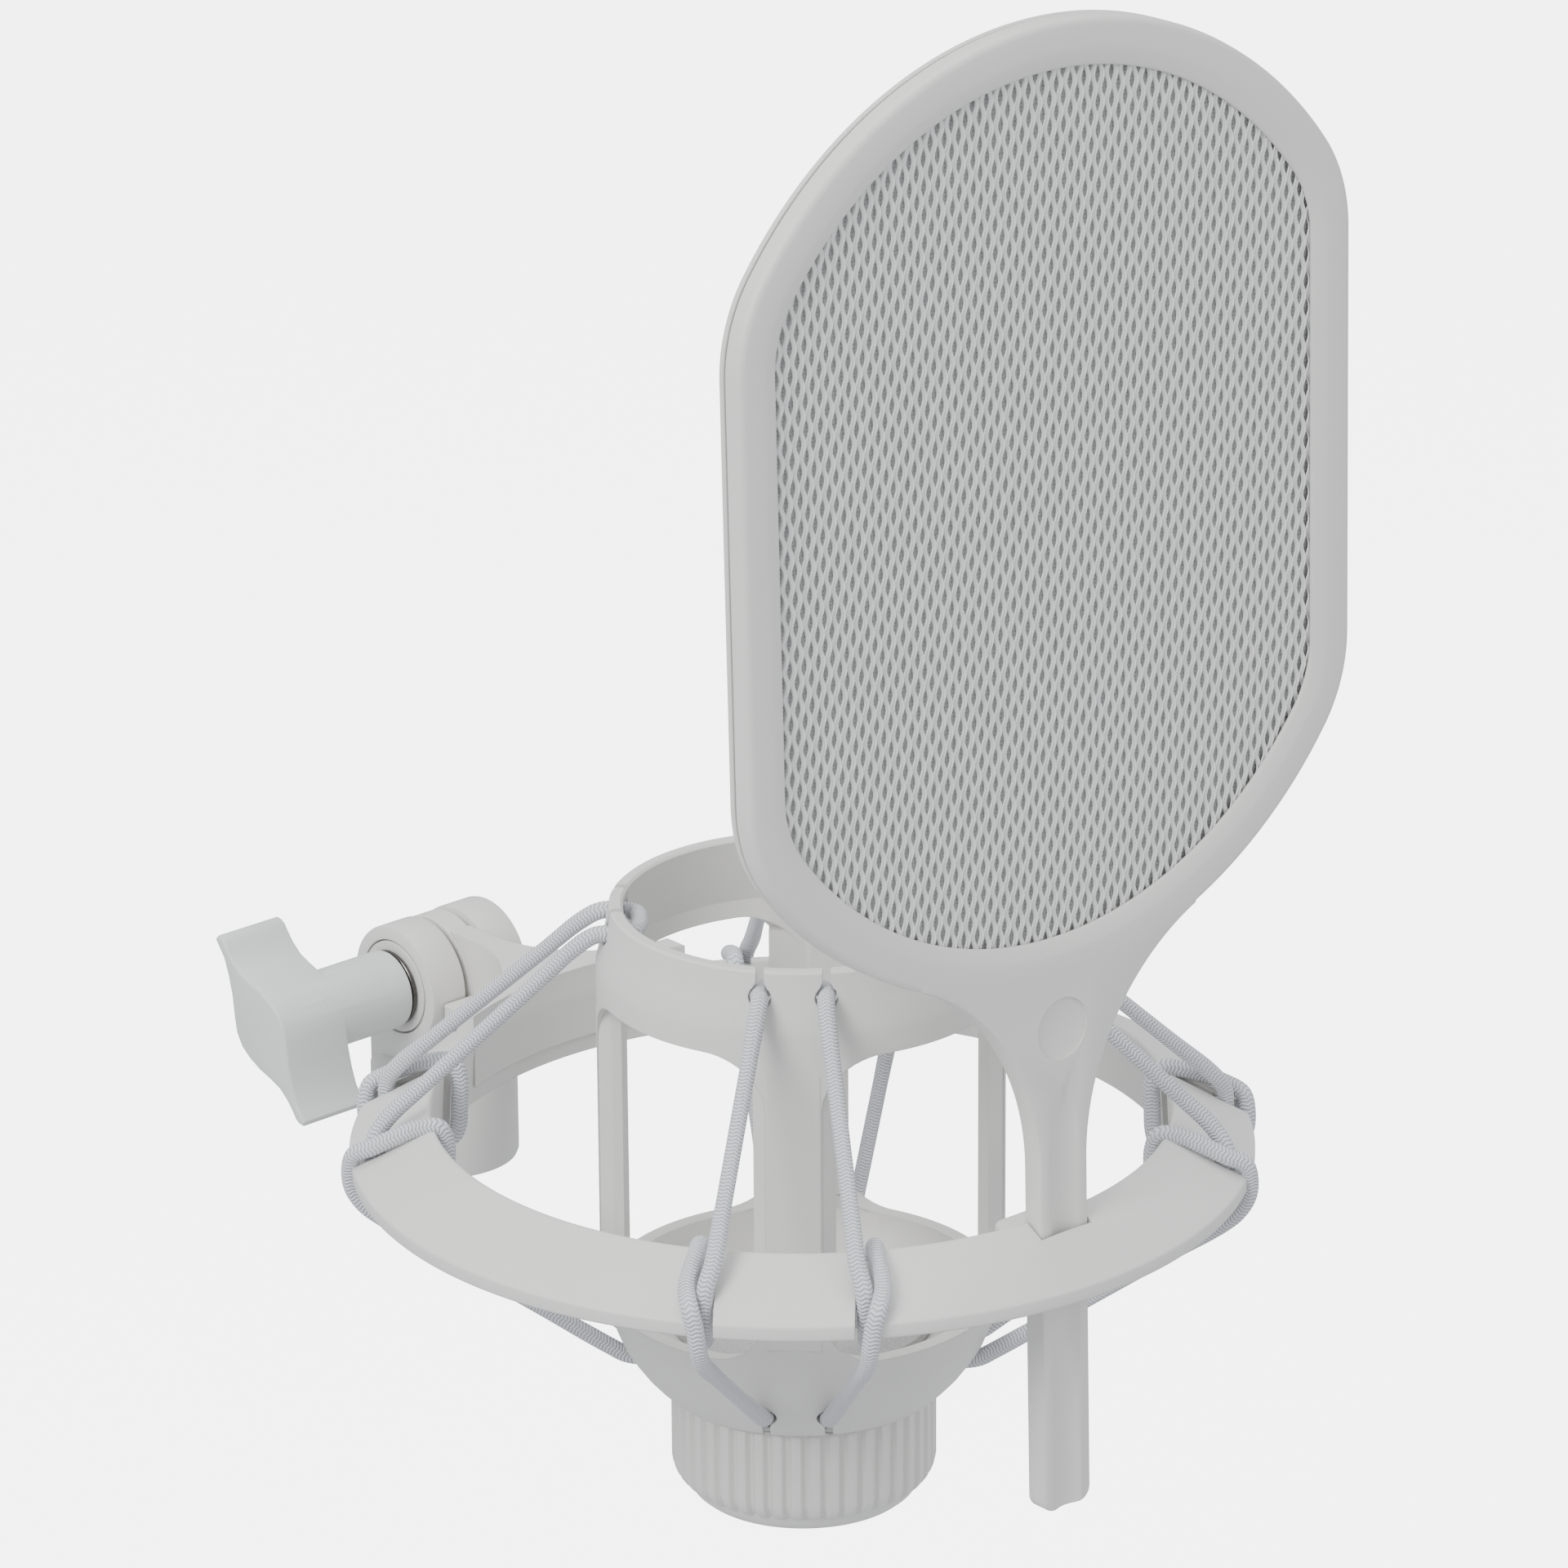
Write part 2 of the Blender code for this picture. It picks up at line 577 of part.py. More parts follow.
def build_stand_adapter():
    socket = rod("stand_adapter", SOCKET_R, SOCKET_BOTTOM - HINGE_Z, SOCKET_TOP - HINGE_Z, 40)
    ears = []
    for name, x0, x1 in (("near", -EAR_OUTER_X, -EAR_INNER_X), ("far", EAR_INNER_X, EAR_OUTER_X)):
        barrel = as_cutter(rod(f"ear_{name}", KNUCKLE_R, x0, x1, 36), SWIVEL)
        ears.append(place(barrel, SWIVEL, (0, 0, 0), ALONG_X))
        foot_low = SOCKET_TOP - HINGE_Z - 3.0
        foot = block(f"ear_foot_{name}", (x0 + 0.02, -6.4, foot_low), (x1 - 0.02, 6.4, -2.0))
        ears.append(as_cutter(foot, SWIVEL))
    bore_low = SOCKET_BOTTOM - HINGE_Z - 1.0
    bore = rod("socket_bore", SOCKET_BORE_R, bore_low, bore_low + 1.0 + SOCKET_BORE_DEPTH, 40)
    cuts = [as_cutter(bore, SWIVEL)]
    for name, radius, x0, x1, steps in (
        ("screw_hole", SCREW_HOLE_R, -12.0, 12.0, 24),
        ("bush_seat", BUSH_R + GAP, -12.0, -EAR_OUTER_X + 1.0, SMALL_STEPS),
        ("nut_seat", NUT_ACROSS_FLATS / 2 / math.cos(math.pi / 6) + 0.4, NUT_SEAT_X, 12.0, 6),
        ("cap_seat", CAP_R + GAP, CAP_SEAT_X, 12.0, SMALL_STEPS),
    ):
        cut = as_cutter(rod(name, radius, x0, x1, steps), SWIVEL)
        cuts.append(place(cut, SWIVEL, (0, 0, 0), ALONG_X))
    boolean(socket, "UNION", ears)
    boolean(socket, "DIFFERENCE", cuts)
    return as_part(socket, SWIVEL, WHITE, 0.42)


def build_thread_insert():
    low = SOCKET_BOTTOM - HINGE_Z + 0.6
    insert = tube("thread_insert", INSERT_R, INSERT_BORE_R, low, low + INSERT_L, 40)
    return as_part(insert, SWIVEL, (0.72, 0.55, 0.28), 0.35, 1.0)


def swivel_disc(name, outer_r, inner_r, x0, x1, parent, color, roughness, metallic=0.0):
    disc = tube(name, outer_r, inner_r, x0, x1)
    disc.rotation_euler = ALONG_X
    return as_part(disc, parent, color, roughness, metallic)


def build_clamp_nut():
    corner = NUT_ACROSS_FLATS / 2 / math.cos(math.pi / 6)
    nut = rod("clamp_nut", corner, NUT_SEAT_X + GAP, CAP_SEAT_X - 0.4, 6)
    hole = as_cutter(rod("clamp_nut_hole", SCREW_HOLE_R, 0.0, 12.0, 24), SWIVEL)
    place(hole, SWIVEL, (0, 0, 0), ALONG_X)
    boolean(nut, "DIFFERENCE", [hole])
    nut.rotation_euler = ALONG_X
    return as_part(nut, SWIVEL, (0.5, 0.5, 0.5), 0.35, 1.0)


def build_end_cap():
    seat = CAP_SEAT_X + GAP
    section = [(0.0, 10.4), (4.5, 10.4), (CAP_R, 9.9), (CAP_R, seat), (0.0, seat)]
    cap = turned("end_cap", section, SMALL_STEPS, closed=False)
    cap.rotation_euler = ALONG_X
    return as_part(cap, SWIVEL, WHITE, 0.42)


def grip_outline():
    """End view of the knob's grip: an S-shaped bar, as (y, z) about its axis."""
    half = [
        (9.4, 13.2), (10.9, 12.9), (10.2, 11.8), (8.6, 9.8), (7.0, 4.2), (6.6, 0.0),
        (6.2, -2.3), (4.8, -4.3), (0.3, -7.0), (-4.5, -8.4), (-7.6, -11.4),
    ]
    return half + [(-y, -z) for y, z in half]


def build_knob():
    """Stem and grip; the grip's outline lies across the swivel's axis."""
    stem = rod("knob", KNOB_STEM_R, KNOB_GRIP_X - 3.0, KNOB_FACE_X, 40)
    grip = plate("knob_grip", [grip_outline()], KNOB_END_X, KNOB_GRIP_X)
    as_cutter(grip, KNOB_AXIS)
    grip.rotation_euler = (math.pi / 2, 0.0, math.pi / 2)
    hole = as_cutter(rod("knob_hole", SCREW_HOLE_R, KNOB_GRIP_X + 1.0, 0.0, 24), KNOB_AXIS)
    place(hole, KNOB_AXIS, (0, 0, 0), ALONG_X)
    boolean(stem, "UNION", [grip])
    boolean(stem, "DIFFERENCE", [hole])
    stem.rotation_euler = ALONG_X
    return as_part(stem, KNOB_AXIS, COOL_WHITE, 0.38)


def build_clamp_screw():
    screw = rod("clamp_screw", SCREW_R, KNOB_GRIP_X + 1.4, CAP_SEAT_X - 0.2, 24)
    screw.rotation_euler = ALONG_X
    return as_part(screw, KNOB_AXIS, (0.45, 0.45, 0.46), 0.3, 1.0)


# ---------------------------------------------------------------- pop filter

def frame_outline(inset, corner_steps=5, arch_steps=9):
    """Frame outline, moved inwards by inset: straight sides, arched ends."""
    half_w = FRAME_HALF_W - inset
    corner_r = FRAME_CORNER_R - inset
    arch_r = FRAME_ARCH_R - inset
    corner = (half_w - corner_r, FRAME_SIDE_HALF)
    drop = math.sqrt((arch_r - corner_r) ** 2 - corner[0] ** 2)
    arch_mid = corner[1] - drop
    join = math.degrees(math.atan2(drop, corner[0]))
    quarter = arc(corner, corner_r, 0.0, join, corner_steps)
    quarter += arc((0.0, arch_mid), arch_r, join, 90.0, arch_steps)[1:]
    upper = quarter + [(-x, y) for x, y in reversed(quarter[:-1])]
    lower = [(-x, -y) for x, y in upper]
    return [(x, y + FRAME_MID) for x, y in upper + lower]


def neck_outline():
    """Stem and flared neck, whose fillets run tangent into the frame's lower arch."""
    corner_x = FRAME_HALF_W - FRAME_CORNER_R
    arch_drop = math.sqrt((FRAME_ARCH_R - FRAME_CORNER_R) ** 2 - corner_x ** 2)
    arch_mid = FRAME_MID - FRAME_SIDE_HALF + arch_drop
    fillet_x = STEM_HALF_W + NECK_FILLET_R
    fillet_drop = math.sqrt((FRAME_ARCH_R + NECK_FILLET_R) ** 2 - fillet_x ** 2)
    tangent = math.degrees(math.atan2(fillet_drop, -fillet_x))
    side = arc((fillet_x, arch_mid - fillet_drop), NECK_FILLET_R, 180.0, tangent, 8)
    right = [(STEM_HALF_W, STEM_BOTTOM + 1.5), *side, (side[-1][0] - 1.0, side[-1][1] + 5.0)]
    bottom = [(STEM_HALF_W - 2.0, STEM_BOTTOM)]
    half = bottom + right
    return half + [(-x, y) for x, y in reversed(half)]


def swept_frame(name, section):
    """A closed section of (inset, z) points, swept round the frame's outline."""
    loops = [[(x, y, z) for x, y in frame_outline(inset)] for inset, z in section]
    count = len(loops[0])
    points = [point for loop in loops for point in loop]
    faces = []
    for i in range(len(loops)):
        a, b = i * count, (i + 1) % len(loops) * count
        for j in range(count):
            k = (j + 1) % count
            faces.append((a + j, b + j, b + k, a + k))
    return bpy.data.objects.new(name, mesh_from_points(name, points, faces=faces))


def build_front_frame():
    section = [
        (0.5, 0.0),
        (0.0, -0.5),
        (0.0, -FRONT_T),
        (FRAME_POCKET_INSET, -FRONT_T),
        (FRAME_POCKET_INSET, -FRONT_LIP_T),
        (FRAME_BORDER, -FRONT_LIP_T),
        (FRAME_BORDER, -0.9),
        (FRAME_BAND + 0.3, 0.0),
    ]
    frame = swept_frame("filter_front_frame", section)
    neck = as_cutter(plate("filter_neck", [neck_outline()], -STEM_T, -0.05), FILTER_AXIS)
    lip_room = as_cutter(plate("neck_trim", [frame_outline(FRAME_BAND)], -9.0, 3.0), FILTER_AXIS)
    rear_room = plate("neck_rear_room", [frame_outline(-0.4)], -9.0, -FRONT_T + 0.05)
    as_cutter(rear_room, FILTER_AXIS)
    pocket = plate("panel_pocket", [frame_outline(FRAME_POCKET_INSET)], -9.0, -FRONT_LIP_T)
    as_cutter(pocket, FILTER_AXIS)
    flute = rod("stem_flute", FLUTE_R, STEM_BOTTOM - 5.0, FLUTE_TOP, 24)
    as_cutter(flute, FILTER_AXIS)
    place(flute, FILTER_AXIS, (0, 0, FLUTE_R - FLUTE_DEPTH), (-math.pi / 2, 0, 0))
    boolean(neck, "DIFFERENCE", [lip_room, rear_room, pocket, flute])
    boolean(frame, "UNION", [neck])
    return as_part(frame, FILTER_AXIS, WHITE, 0.42)


def build_rear_frame():
    top = -FRONT_T - GAP
    section = [(0.0, top), (0.0, top - REAR_T), (FRAME_BORDER, top - REAR_T), (FRAME_BORDER, top)]
    frame = swept_frame("filter_rear_frame", section)
    return as_part(frame, FILTER_AXIS, WHITE, 0.42)


def build_panels():
    """Front mesh, inner screen and rear mesh, stacked in the frame's pocket."""
    level = -FRONT_LIP_T - GAP
    for name, thickness, color, metallic in (
        ("filter_front_mesh", MESH_T, (0.66, 0.66, 0.64), 0.0),
        ("filter_screen", SCREEN_T, (0.6, 0.6, 0.6), 0.0),
        ("filter_rear_mesh", MESH_T, (0.66, 0.66, 0.64), 0.0),
    ):
        panel = plate(name, [frame_outline(PANEL_INSET)], level - thickness, level)
        as_part(panel, FILTER_AXIS, color, 0.5, metallic)
        level -= thickness + GAP - 0.05


# ---------------------------------------------------------------- build

def main():
    build_outer_ring()
    build_cradle()
    build_base_pad()
    build_mic_nut()
    build_snap_ring()
    for name, angle in STATION_ANGLES.items():
        build_cord(f"cord_{name}", angle)
    build_stand_adapter()
    build_thread_insert()
    build_clamp_nut()
    build_end_cap()
    steel = (0.12, 0.11, 0.11)
    swivel_disc("ear_bush", BUSH_R, SCREW_HOLE_R + 0.1, -10.0, -9.2, SWIVEL, WHITE, 0.4)
    swivel_disc("knob_washer", 6.3, SCREW_HOLE_R, -10.9, -10.3, KNOB_AXIS, steel, 0.25, 1.0)
    nylon = (0.8, 0.8, 0.8)
    for name, x0 in (("near", -2.8), ("far", 2.4)):
        washer = f"friction_washer_{name}"
        swivel_disc(washer, 8.8, SCREW_HOLE_R, x0, x0 + 0.4, SWIVEL, nylon, 0.5)
    build_knob()
    build_clamp_screw()
    build_front_frame()
    build_rear_frame()
    build_panels()


main()
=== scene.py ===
"""Elastic shock mount with a slide-in pop filter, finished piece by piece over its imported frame.

Shapes are given in millimetres about the microphone's axis, with z = 0 at the ring's
outer rim, the filter at -Y, the swivel at +Y and the knob at -X.
"""

import logging
import math
from collections.abc import Sequence
from dataclasses import dataclass, field
from enum import Enum

import bmesh
import bpy
from mathutils import Matrix, Vector


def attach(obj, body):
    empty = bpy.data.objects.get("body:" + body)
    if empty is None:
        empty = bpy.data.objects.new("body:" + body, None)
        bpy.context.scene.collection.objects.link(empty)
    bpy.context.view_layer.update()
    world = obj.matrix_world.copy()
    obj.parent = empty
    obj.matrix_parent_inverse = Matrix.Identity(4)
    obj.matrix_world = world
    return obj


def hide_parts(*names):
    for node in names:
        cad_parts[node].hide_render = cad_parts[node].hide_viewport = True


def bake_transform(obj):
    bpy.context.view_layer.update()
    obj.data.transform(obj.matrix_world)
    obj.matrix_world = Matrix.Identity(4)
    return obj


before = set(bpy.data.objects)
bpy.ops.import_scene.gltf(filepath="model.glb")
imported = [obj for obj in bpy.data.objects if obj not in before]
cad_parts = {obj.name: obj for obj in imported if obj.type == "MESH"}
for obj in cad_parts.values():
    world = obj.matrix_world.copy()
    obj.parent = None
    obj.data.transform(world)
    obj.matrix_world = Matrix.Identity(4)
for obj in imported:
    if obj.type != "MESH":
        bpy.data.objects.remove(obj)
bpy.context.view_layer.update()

LOG = logging.getLogger("shock_mount")
MM = 0.001
MOUNT = Matrix.Translation((0.0, -0.088, 0.0314))
HINGE = (0.0, 88.0, 0.6)
ALONG_X = Matrix.Rotation(math.pi / 2, 4, "Y")

Point2 = tuple[float, float]
Point3 = tuple[float, float, float]
Colour = tuple[float, float, float]


class Body(Enum):
    """Moving bodies of the mount."""

    STAND = "stand_adapter"
    KNOB = "knob"
    RING = "ring"
    CRADLE = "cradle"
    NUT = "mic_nut"
    FILTER = "filter"


class Join(Enum):
    """Ways in which one solid works on another."""

    ADD = "UNION"
    CUT = "DIFFERENCE"


def shift(x: float = 0.0, y: float = 0.0, z: float = 0.0) -> Matrix:
    """Matrix of a move in millimetres."""
    return Matrix.Translation(Vector((x, y, z)) * MM)


def turn(degrees: float, axis: str = "Z") -> Matrix:
    """Matrix of a turn about an axis."""
    return Matrix.Rotation(math.radians(degrees), 4, axis)


def arc(centre: Point2, radius: float, start: float, end: float, count: int) -> list[Point2]:
    """Points of an arc.

    Args:
        centre: Its centre.
        radius: Its radius.
        start: First angle in degrees from +x.
        end: Last angle in degrees.
        count: How many stretches it has.

    Returns:
        The points, both ends included.
    """
    angles = [math.radians(start + (end - start) * i / count) for i in range(count + 1)]
    return [(centre[0] + radius * math.cos(a), centre[1] + radius * math.sin(a)) for a in angles]


# ------------------------------------------------------------------ modelling


class Bench:
    """Models pieces with Blender's own operators."""

    @staticmethod
    def pick(obj: bpy.types.Object | None = None) -> None:
        """Deselects everything, then selects obj alone if it is given."""
        if bpy.context.mode != "OBJECT":
            bpy.ops.object.mode_set(mode="OBJECT")
        bpy.ops.object.select_all(action="DESELECT")
        if obj is not None:
            obj.select_set(True)
            bpy.context.view_layer.objects.active = obj

    @classmethod
    def outline(cls, name: str, points: Sequence[Point3], fill: bool = False) -> bpy.types.Object:
        """A circle primitive whose vertices are moved onto a closed outline.

        Args:
            name: Name of the new object.
            points: Outline, in millimetres.
            fill: Whether the outline gets a face.

        Returns:
            The new object, left in object mode.
        """
        cls.pick()
        kind = "NGON" if fill else "NOTHING"
        bpy.ops.mesh.primitive_circle_add(vertices=len(points), radius=0.01, fill_type=kind)
        obj = bpy.context.object
        obj.name = name
        obj.data.name = name
        for vertex, point in zip(obj.data.vertices, points):
            vertex.co = Vector(point) * MM
        return obj

    @staticmethod
    def weld(merge: float = 0.000002) -> None:
        """Merges doubles, drops loose bits and turns all normals outwards, in edit mode."""
        bpy.ops.mesh.select_all(action="SELECT")
        bpy.ops.mesh.remove_doubles(threshold=merge)
        bpy.ops.mesh.delete_loose(use_verts=True, use_edges=True)
        bpy.ops.mesh.select_all(action="SELECT")
        bpy.ops.mesh.normals_make_consistent(inside=False)
        bpy.ops.object.mode_set(mode="OBJECT")

    @classmethod
    def slab(cls, name: str, outline: Sequence[Point2], low: float, high: float) -> bpy.types.Object:
        """A flat outline, filled and extruded from z low to high.

        Args:
            name: Name of the new object.
            outline: Closed outline in the XY plane.
            low: Height of its lower face.
            high: Height of its upper face.

        Returns:
            The closed solid.
        """
        obj = cls.outline(name, [(x, y, low) for x, y in outline], fill=True)
        bpy.ops.object.mode_set(mode="EDIT")
        bpy.ops.mesh.select_all(action="SELECT")
        rise = {"value": (0.0, 0.0, (high - low) * MM)}
        bpy.ops.mesh.extrude_region_move(TRANSFORM_OT_translate=rise)
        cls.weld()
        return obj

    @classmethod
    def spun(cls, name: str, section: Sequence[Point2], steps: int = 96) -> bpy.types.Object:
        """A closed section of (radius, z) points, spun about Z.

        Args:
            name: Name of the new object.
            section: The section; points on the axis close into poles.
            steps: Facets round the axis.

        Returns:
            The closed solid.
        """
        obj = cls.outline(name, [(r, 0.0, z) for r, z in section])
        bpy.ops.object.mode_set(mode="EDIT")
        bpy.ops.mesh.select_all(action="SELECT")
        bpy.ops.mesh.spin(steps=steps, angle=math.tau, center=(0, 0, 0), axis=(0, 0, 1))
        cls.weld()
        return obj

    @classmethod
    def raised(cls, name: str, loops: Sequence[Sequence[Point3]], closed: bool) -> bpy.types.Object:
        """An outline extruded from loop to loop.

        Args:
            name: Name of the new object.
            loops: Loops with the same number of points.
            closed: True where the last loop joins the first, False for filled ends.

        Returns:
            The closed solid.
        """
        count = len(loops[0])
        obj = cls.outline(name, loops[0])
        bpy.ops.object.mode_set(mode="EDIT")
        bpy.ops.mesh.select_all(action="SELECT")
        following = [*loops[1:], loops[0]] if closed else loops[1:]
        for loop in following:
            bpy.ops.mesh.extrude_edges_move()
            mesh = bmesh.from_edit_mesh(obj.data)
            mesh.verts.ensure_lookup_table()
            for vertex, point in zip(mesh.verts[-count:], loop):
                vertex.co = Vector(point) * MM
            bmesh.update_edit_mesh(obj.data)
        if not closed:
            bpy.ops.mesh.select_all(action="SELECT")
            bpy.ops.mesh.fill_holes(sides=0)
        cls.weld()
        return obj

    @classmethod
    def placed(cls, obj: bpy.types.Object, matrix: Matrix) -> bpy.types.Object:
        """Moves a piece and applies its place to its mesh.

        Args:
            obj: The piece.
            matrix: The move.

        Returns:
            The piece.
        """
        cls.pick(obj)
        obj.matrix_world = matrix @ obj.matrix_world
        bpy.ops.object.transform_apply(location=True, rotation=True, scale=True)
        return obj

    @classmethod
    def outwards(cls, obj: bpy.types.Object) -> None:
        """Turns every normal of a closed mesh outwards."""
        cls.pick(obj)
        bpy.ops.object.mode_set(mode="EDIT")
        bpy.ops.mesh.select_all(action="SELECT")
        bpy.ops.mesh.normals_make_consistent(inside=False)
        bpy.ops.object.mode_set(mode="OBJECT")

    @classmethod
    def modify(cls, obj: bpy.types.Object, kind: str, **settings: object) -> bpy.types.Object:
        """Adds a modifier and applies it.

        Args:
            obj: The piece.
            kind: The modifier's type.
            settings: Its own settings, by name.

        Returns:
            The piece.
        """
        cls.pick(obj)
        modifier = obj.modifiers.new(kind.lower(), kind)
        for key, value in settings.items():
            setattr(modifier, key, value)
        bpy.ops.object.modifier_apply(modifier=modifier.name)
        return obj

    @classmethod
    def work(cls, obj: bpy.types.Object, how: Join, *tools: bpy.types.Object) -> bpy.types.Object:
        """Adds or cuts tools, and deletes them.

        Args:
            obj: The piece.
            how: Whether the tools are added or cut.
            tools: Closed solids.

        Returns:
            The piece.
        """
        for tool in tools:
            cls.modify(obj, "BOOLEAN", operation=how.value, object=tool, solver="EXACT")
            bpy.data.objects.remove(tool, do_unlink=True)
        return obj

    @classmethod
    def soften(cls, obj: bpy.types.Object, width: float, angle: float, segments: int = 2) -> None:
        """Rounds a piece's sharp edges.

        Args:
            obj: The piece.
            width: Width of the rounding in millimetres.
            angle: Edges sharper than this, in degrees, are rounded.
            segments: Steps of the rounding.
        """
        limit = math.radians(angle)
        cls.modify(obj, "BEVEL", width=width * MM, segments=segments, limit_method="ANGLE",
                   angle_limit=limit, harden_normals=False, use_clamp_overlap=True)

    @classmethod
    def shaded(cls, obj: bpy.types.Object, angle: float = 32.0) -> bpy.types.Object:
        """Smooth shading up to an angle."""
        cls.pick(obj)
        bpy.ops.object.shade_smooth_by_angle(angle=math.radians(angle))
        return obj


def finished(
    obj: bpy.types.Object,
    finish: bpy.types.Material,
    slot: str,
    body: Body,
    *nodes: str,
    angle: float = 32.0,
) -> None:
    """Sets a modelled piece on its body, with its finish.

    Args:
        obj: The piece, about the microphone's axis.
        finish: Its material.
        slot: The record's material slot; not used.
        body: The body that it rides on.
        nodes: CAD nodes that it stands for.
        angle: Smooth shading limit in degrees.
    """
    Bench.placed(obj, MOUNT)
    Bench.shaded(obj, angle)
    obj.data.materials.clear()
    obj.data.materials.append(finish)
    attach(obj, body.value)
    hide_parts(*nodes)
    LOG.info("%s: %d faces on %s", obj.name, len(obj.data.polygons), body.value)


# ------------------------------------------------------------------ finishes


class Wire:
    """A shader socket that takes part in arithmetic."""

    def __init__(self, board: "Board", socket: bpy.types.NodeSocket) -> None:
        """Wraps a socket of a board."""
        self.board = board
        self.socket = socket

    def math(self, operation: str, *values: "float | Wire") -> "Wire":
        """The Math node of an operation on this and other values."""
        inputs = {i: value for i, value in enumerate((self, *values))}
        return self.board.node("ShaderNodeMath", {"operation": operation}, inputs)

    def __add__(self, other: "float | Wire") -> "Wire":
        """This plus other."""
        return self.math("ADD", other)

    __radd__ = __add__

    def __sub__(self, other: "float | Wire") -> "Wire":
        """This minus other."""
        return self.math("SUBTRACT", other)

    def __rsub__(self, other: float) -> "Wire":
        """Other minus this."""
        return self * -1.0 + other

    def __mul__(self, other: "float | Wire") -> "Wire":
        """This times other."""
        return self.math("MULTIPLY", other)

    __rmul__ = __mul__

    def __truediv__(self, other: "float | Wire") -> "Wire":
        """This divided by other."""
        return self.math("DIVIDE", other)

    def sine(self) -> "Wire":
        """Its sine."""
        return self.math("SINE")

    def part(self) -> "Wire":
        """Its fractional part."""
        return self.math("FRACT")

    def size(self) -> "Wire":
        """Its absolute value."""
        return self.math("ABSOLUTE")


class Board:
    """Nodes of one material round its Principled shader."""

    def __init__(self, name: str) -> None:
        """Starts an empty material of this name."""
        self.material = bpy.data.materials.new(name)
        self.material.use_nodes = True
        self.tree = self.material.node_tree
        self.shader = self.tree.nodes["Principled BSDF"]

    def node(
        self, kind: str, settings: dict[str, object], inputs: dict[object, object], out: object = 0
    ) -> Wire:
        """Adds a node.

        Args:
            kind: Its type.
            settings: Its own settings, set before its sockets.
            inputs: Values or links, by socket name or number.
            out: The output that is wanted.

        Returns:
            That output.
        """
        node = self.tree.nodes.new(kind)
        for key, value in settings.items():
            setattr(node, key, value)
        for key, value in inputs.items():
            if isinstance(value, Wire):
                self.tree.links.new(value.socket, node.inputs[key])
            else:
                node.inputs[key].default_value = value
        return Wire(self, node.outputs[out])

    def place(self) -> Wire:
        """Object coordinates."""
        return self.node("ShaderNodeTexCoord", {}, {}, "Object")

    def noise(self, scale: float, detail: float = 3.0, stretch: Point3 = (1.0, 1.0, 1.0)) -> Wire:
        """Noise on object coordinates, from 0 to 1.

        Args:
            scale: Features per metre.
            detail: Octaves.
            stretch: Scale along each axis.

        Returns:
            Its factor.
        """
        mapped = self.node("ShaderNodeMapping", {}, {"Vector": self.place(), "Scale": stretch})
        return self.node("ShaderNodeTexNoise", {}, {"Vector": mapped, "Scale": scale, "Detail": detail})

    def tint(self, factor: Wire, dark: Colour, light: Colour) -> Wire:
        """A colour between two.

        Args:
            factor: 0 for dark and 1 for light.
            dark: One colour.
            light: The other.

        Returns:
            The mixed colour.
        """
        inputs = {0: factor, 6: (*dark, 1.0), 7: (*light, 1.0)}
        return self.node("ShaderNodeMix", {"data_type": "RGBA"}, inputs, 2)

    def bump(
        self, height: Wire, distance: float, strength: float = 1.0, normal: Wire | None = None
    ) -> Wire:
        """A bumped normal.

        Args:
            height: The relief, from 0 to 1.
            distance: Its depth in metres.
            strength: Its strength.
            normal: Normal that it works on, if not the surface's own.

        Returns:
            The normal.
        """
        inputs: dict[object, object] = {"Height": height, "Distance": distance, "Strength": strength}
        if normal is not None:
            inputs["Normal"] = normal
        return self.node("ShaderNodeBump", {}, inputs)

    def feed(self, **links: Wire) -> None:
        """Links wires to the shader, base_color to Base Color and so on."""
        for key, wire in links.items():
            self.tree.links.new(wire.socket, self.shader.inputs[key.replace("_", " ").title()])

    def fix(self, **values: object) -> None:
        """Sets constants on the shader's own sockets."""
        for key, value in values.items():
            socket = key.replace("_", " ").title().replace("Ior", "IOR")
            self.shader.inputs[socket].default_value = value


@dataclass(frozen=True)
class MouldedPlastic:
    """Fine matt moulded plastic with softly rounded edges."""

    name: str
    light: Colour = (0.735, 0.728, 0.700)
    dark: Colour = (0.690, 0.680, 0.648)
    roughness: float = 0.44
    edge: float = 0.25
    grain: float = 0.000012

    def make(self) -> bpy.types.Material:
        """The material."""
        board = Board(self.name)
        cloud = board.noise(38.0, 2.0)
        flow = board.noise(420.0, 2.0)
        grain = board.noise(5200.0, 3.0)
        board.feed(base_color=board.tint(cloud * 0.6 + flow * 0.4, self.dark, self.light))
        board.feed(roughness=self.roughness - 0.05 + flow * 0.06 + grain * 0.05)
        edge = board.node("ShaderNodeBevel", {"samples": 4}, {"Radius": self.edge * MM})
        board.feed(normal=board.bump(grain, self.grain, 0.5, edge))
        board.fix(specular_ior_level=0.45)
        return board.material


@dataclass(frozen=True)
class TurnedMetal:
    """Turned or plated metal with fine tool marks round its axis."""

    name: str
    light: Colour
    dark: Colour
    roughness: float = 0.3

    def make(self) -> bpy.types.Material:
        """The material."""
        board = Board(self.name)
        marks = board.noise(900.0, 3.0, (6.0, 1.0, 1.0))
        stain = board.noise(150.0, 3.0)
        board.feed(base_color=board.tint(stain, self.dark, self.light))
        board.feed(roughness=self.roughness - 0.06 + marks * 0.12)
        board.feed(normal=board.bump(marks, 0.00001, 0.4))
        board.fix(metallic=1.0)
        return board.material


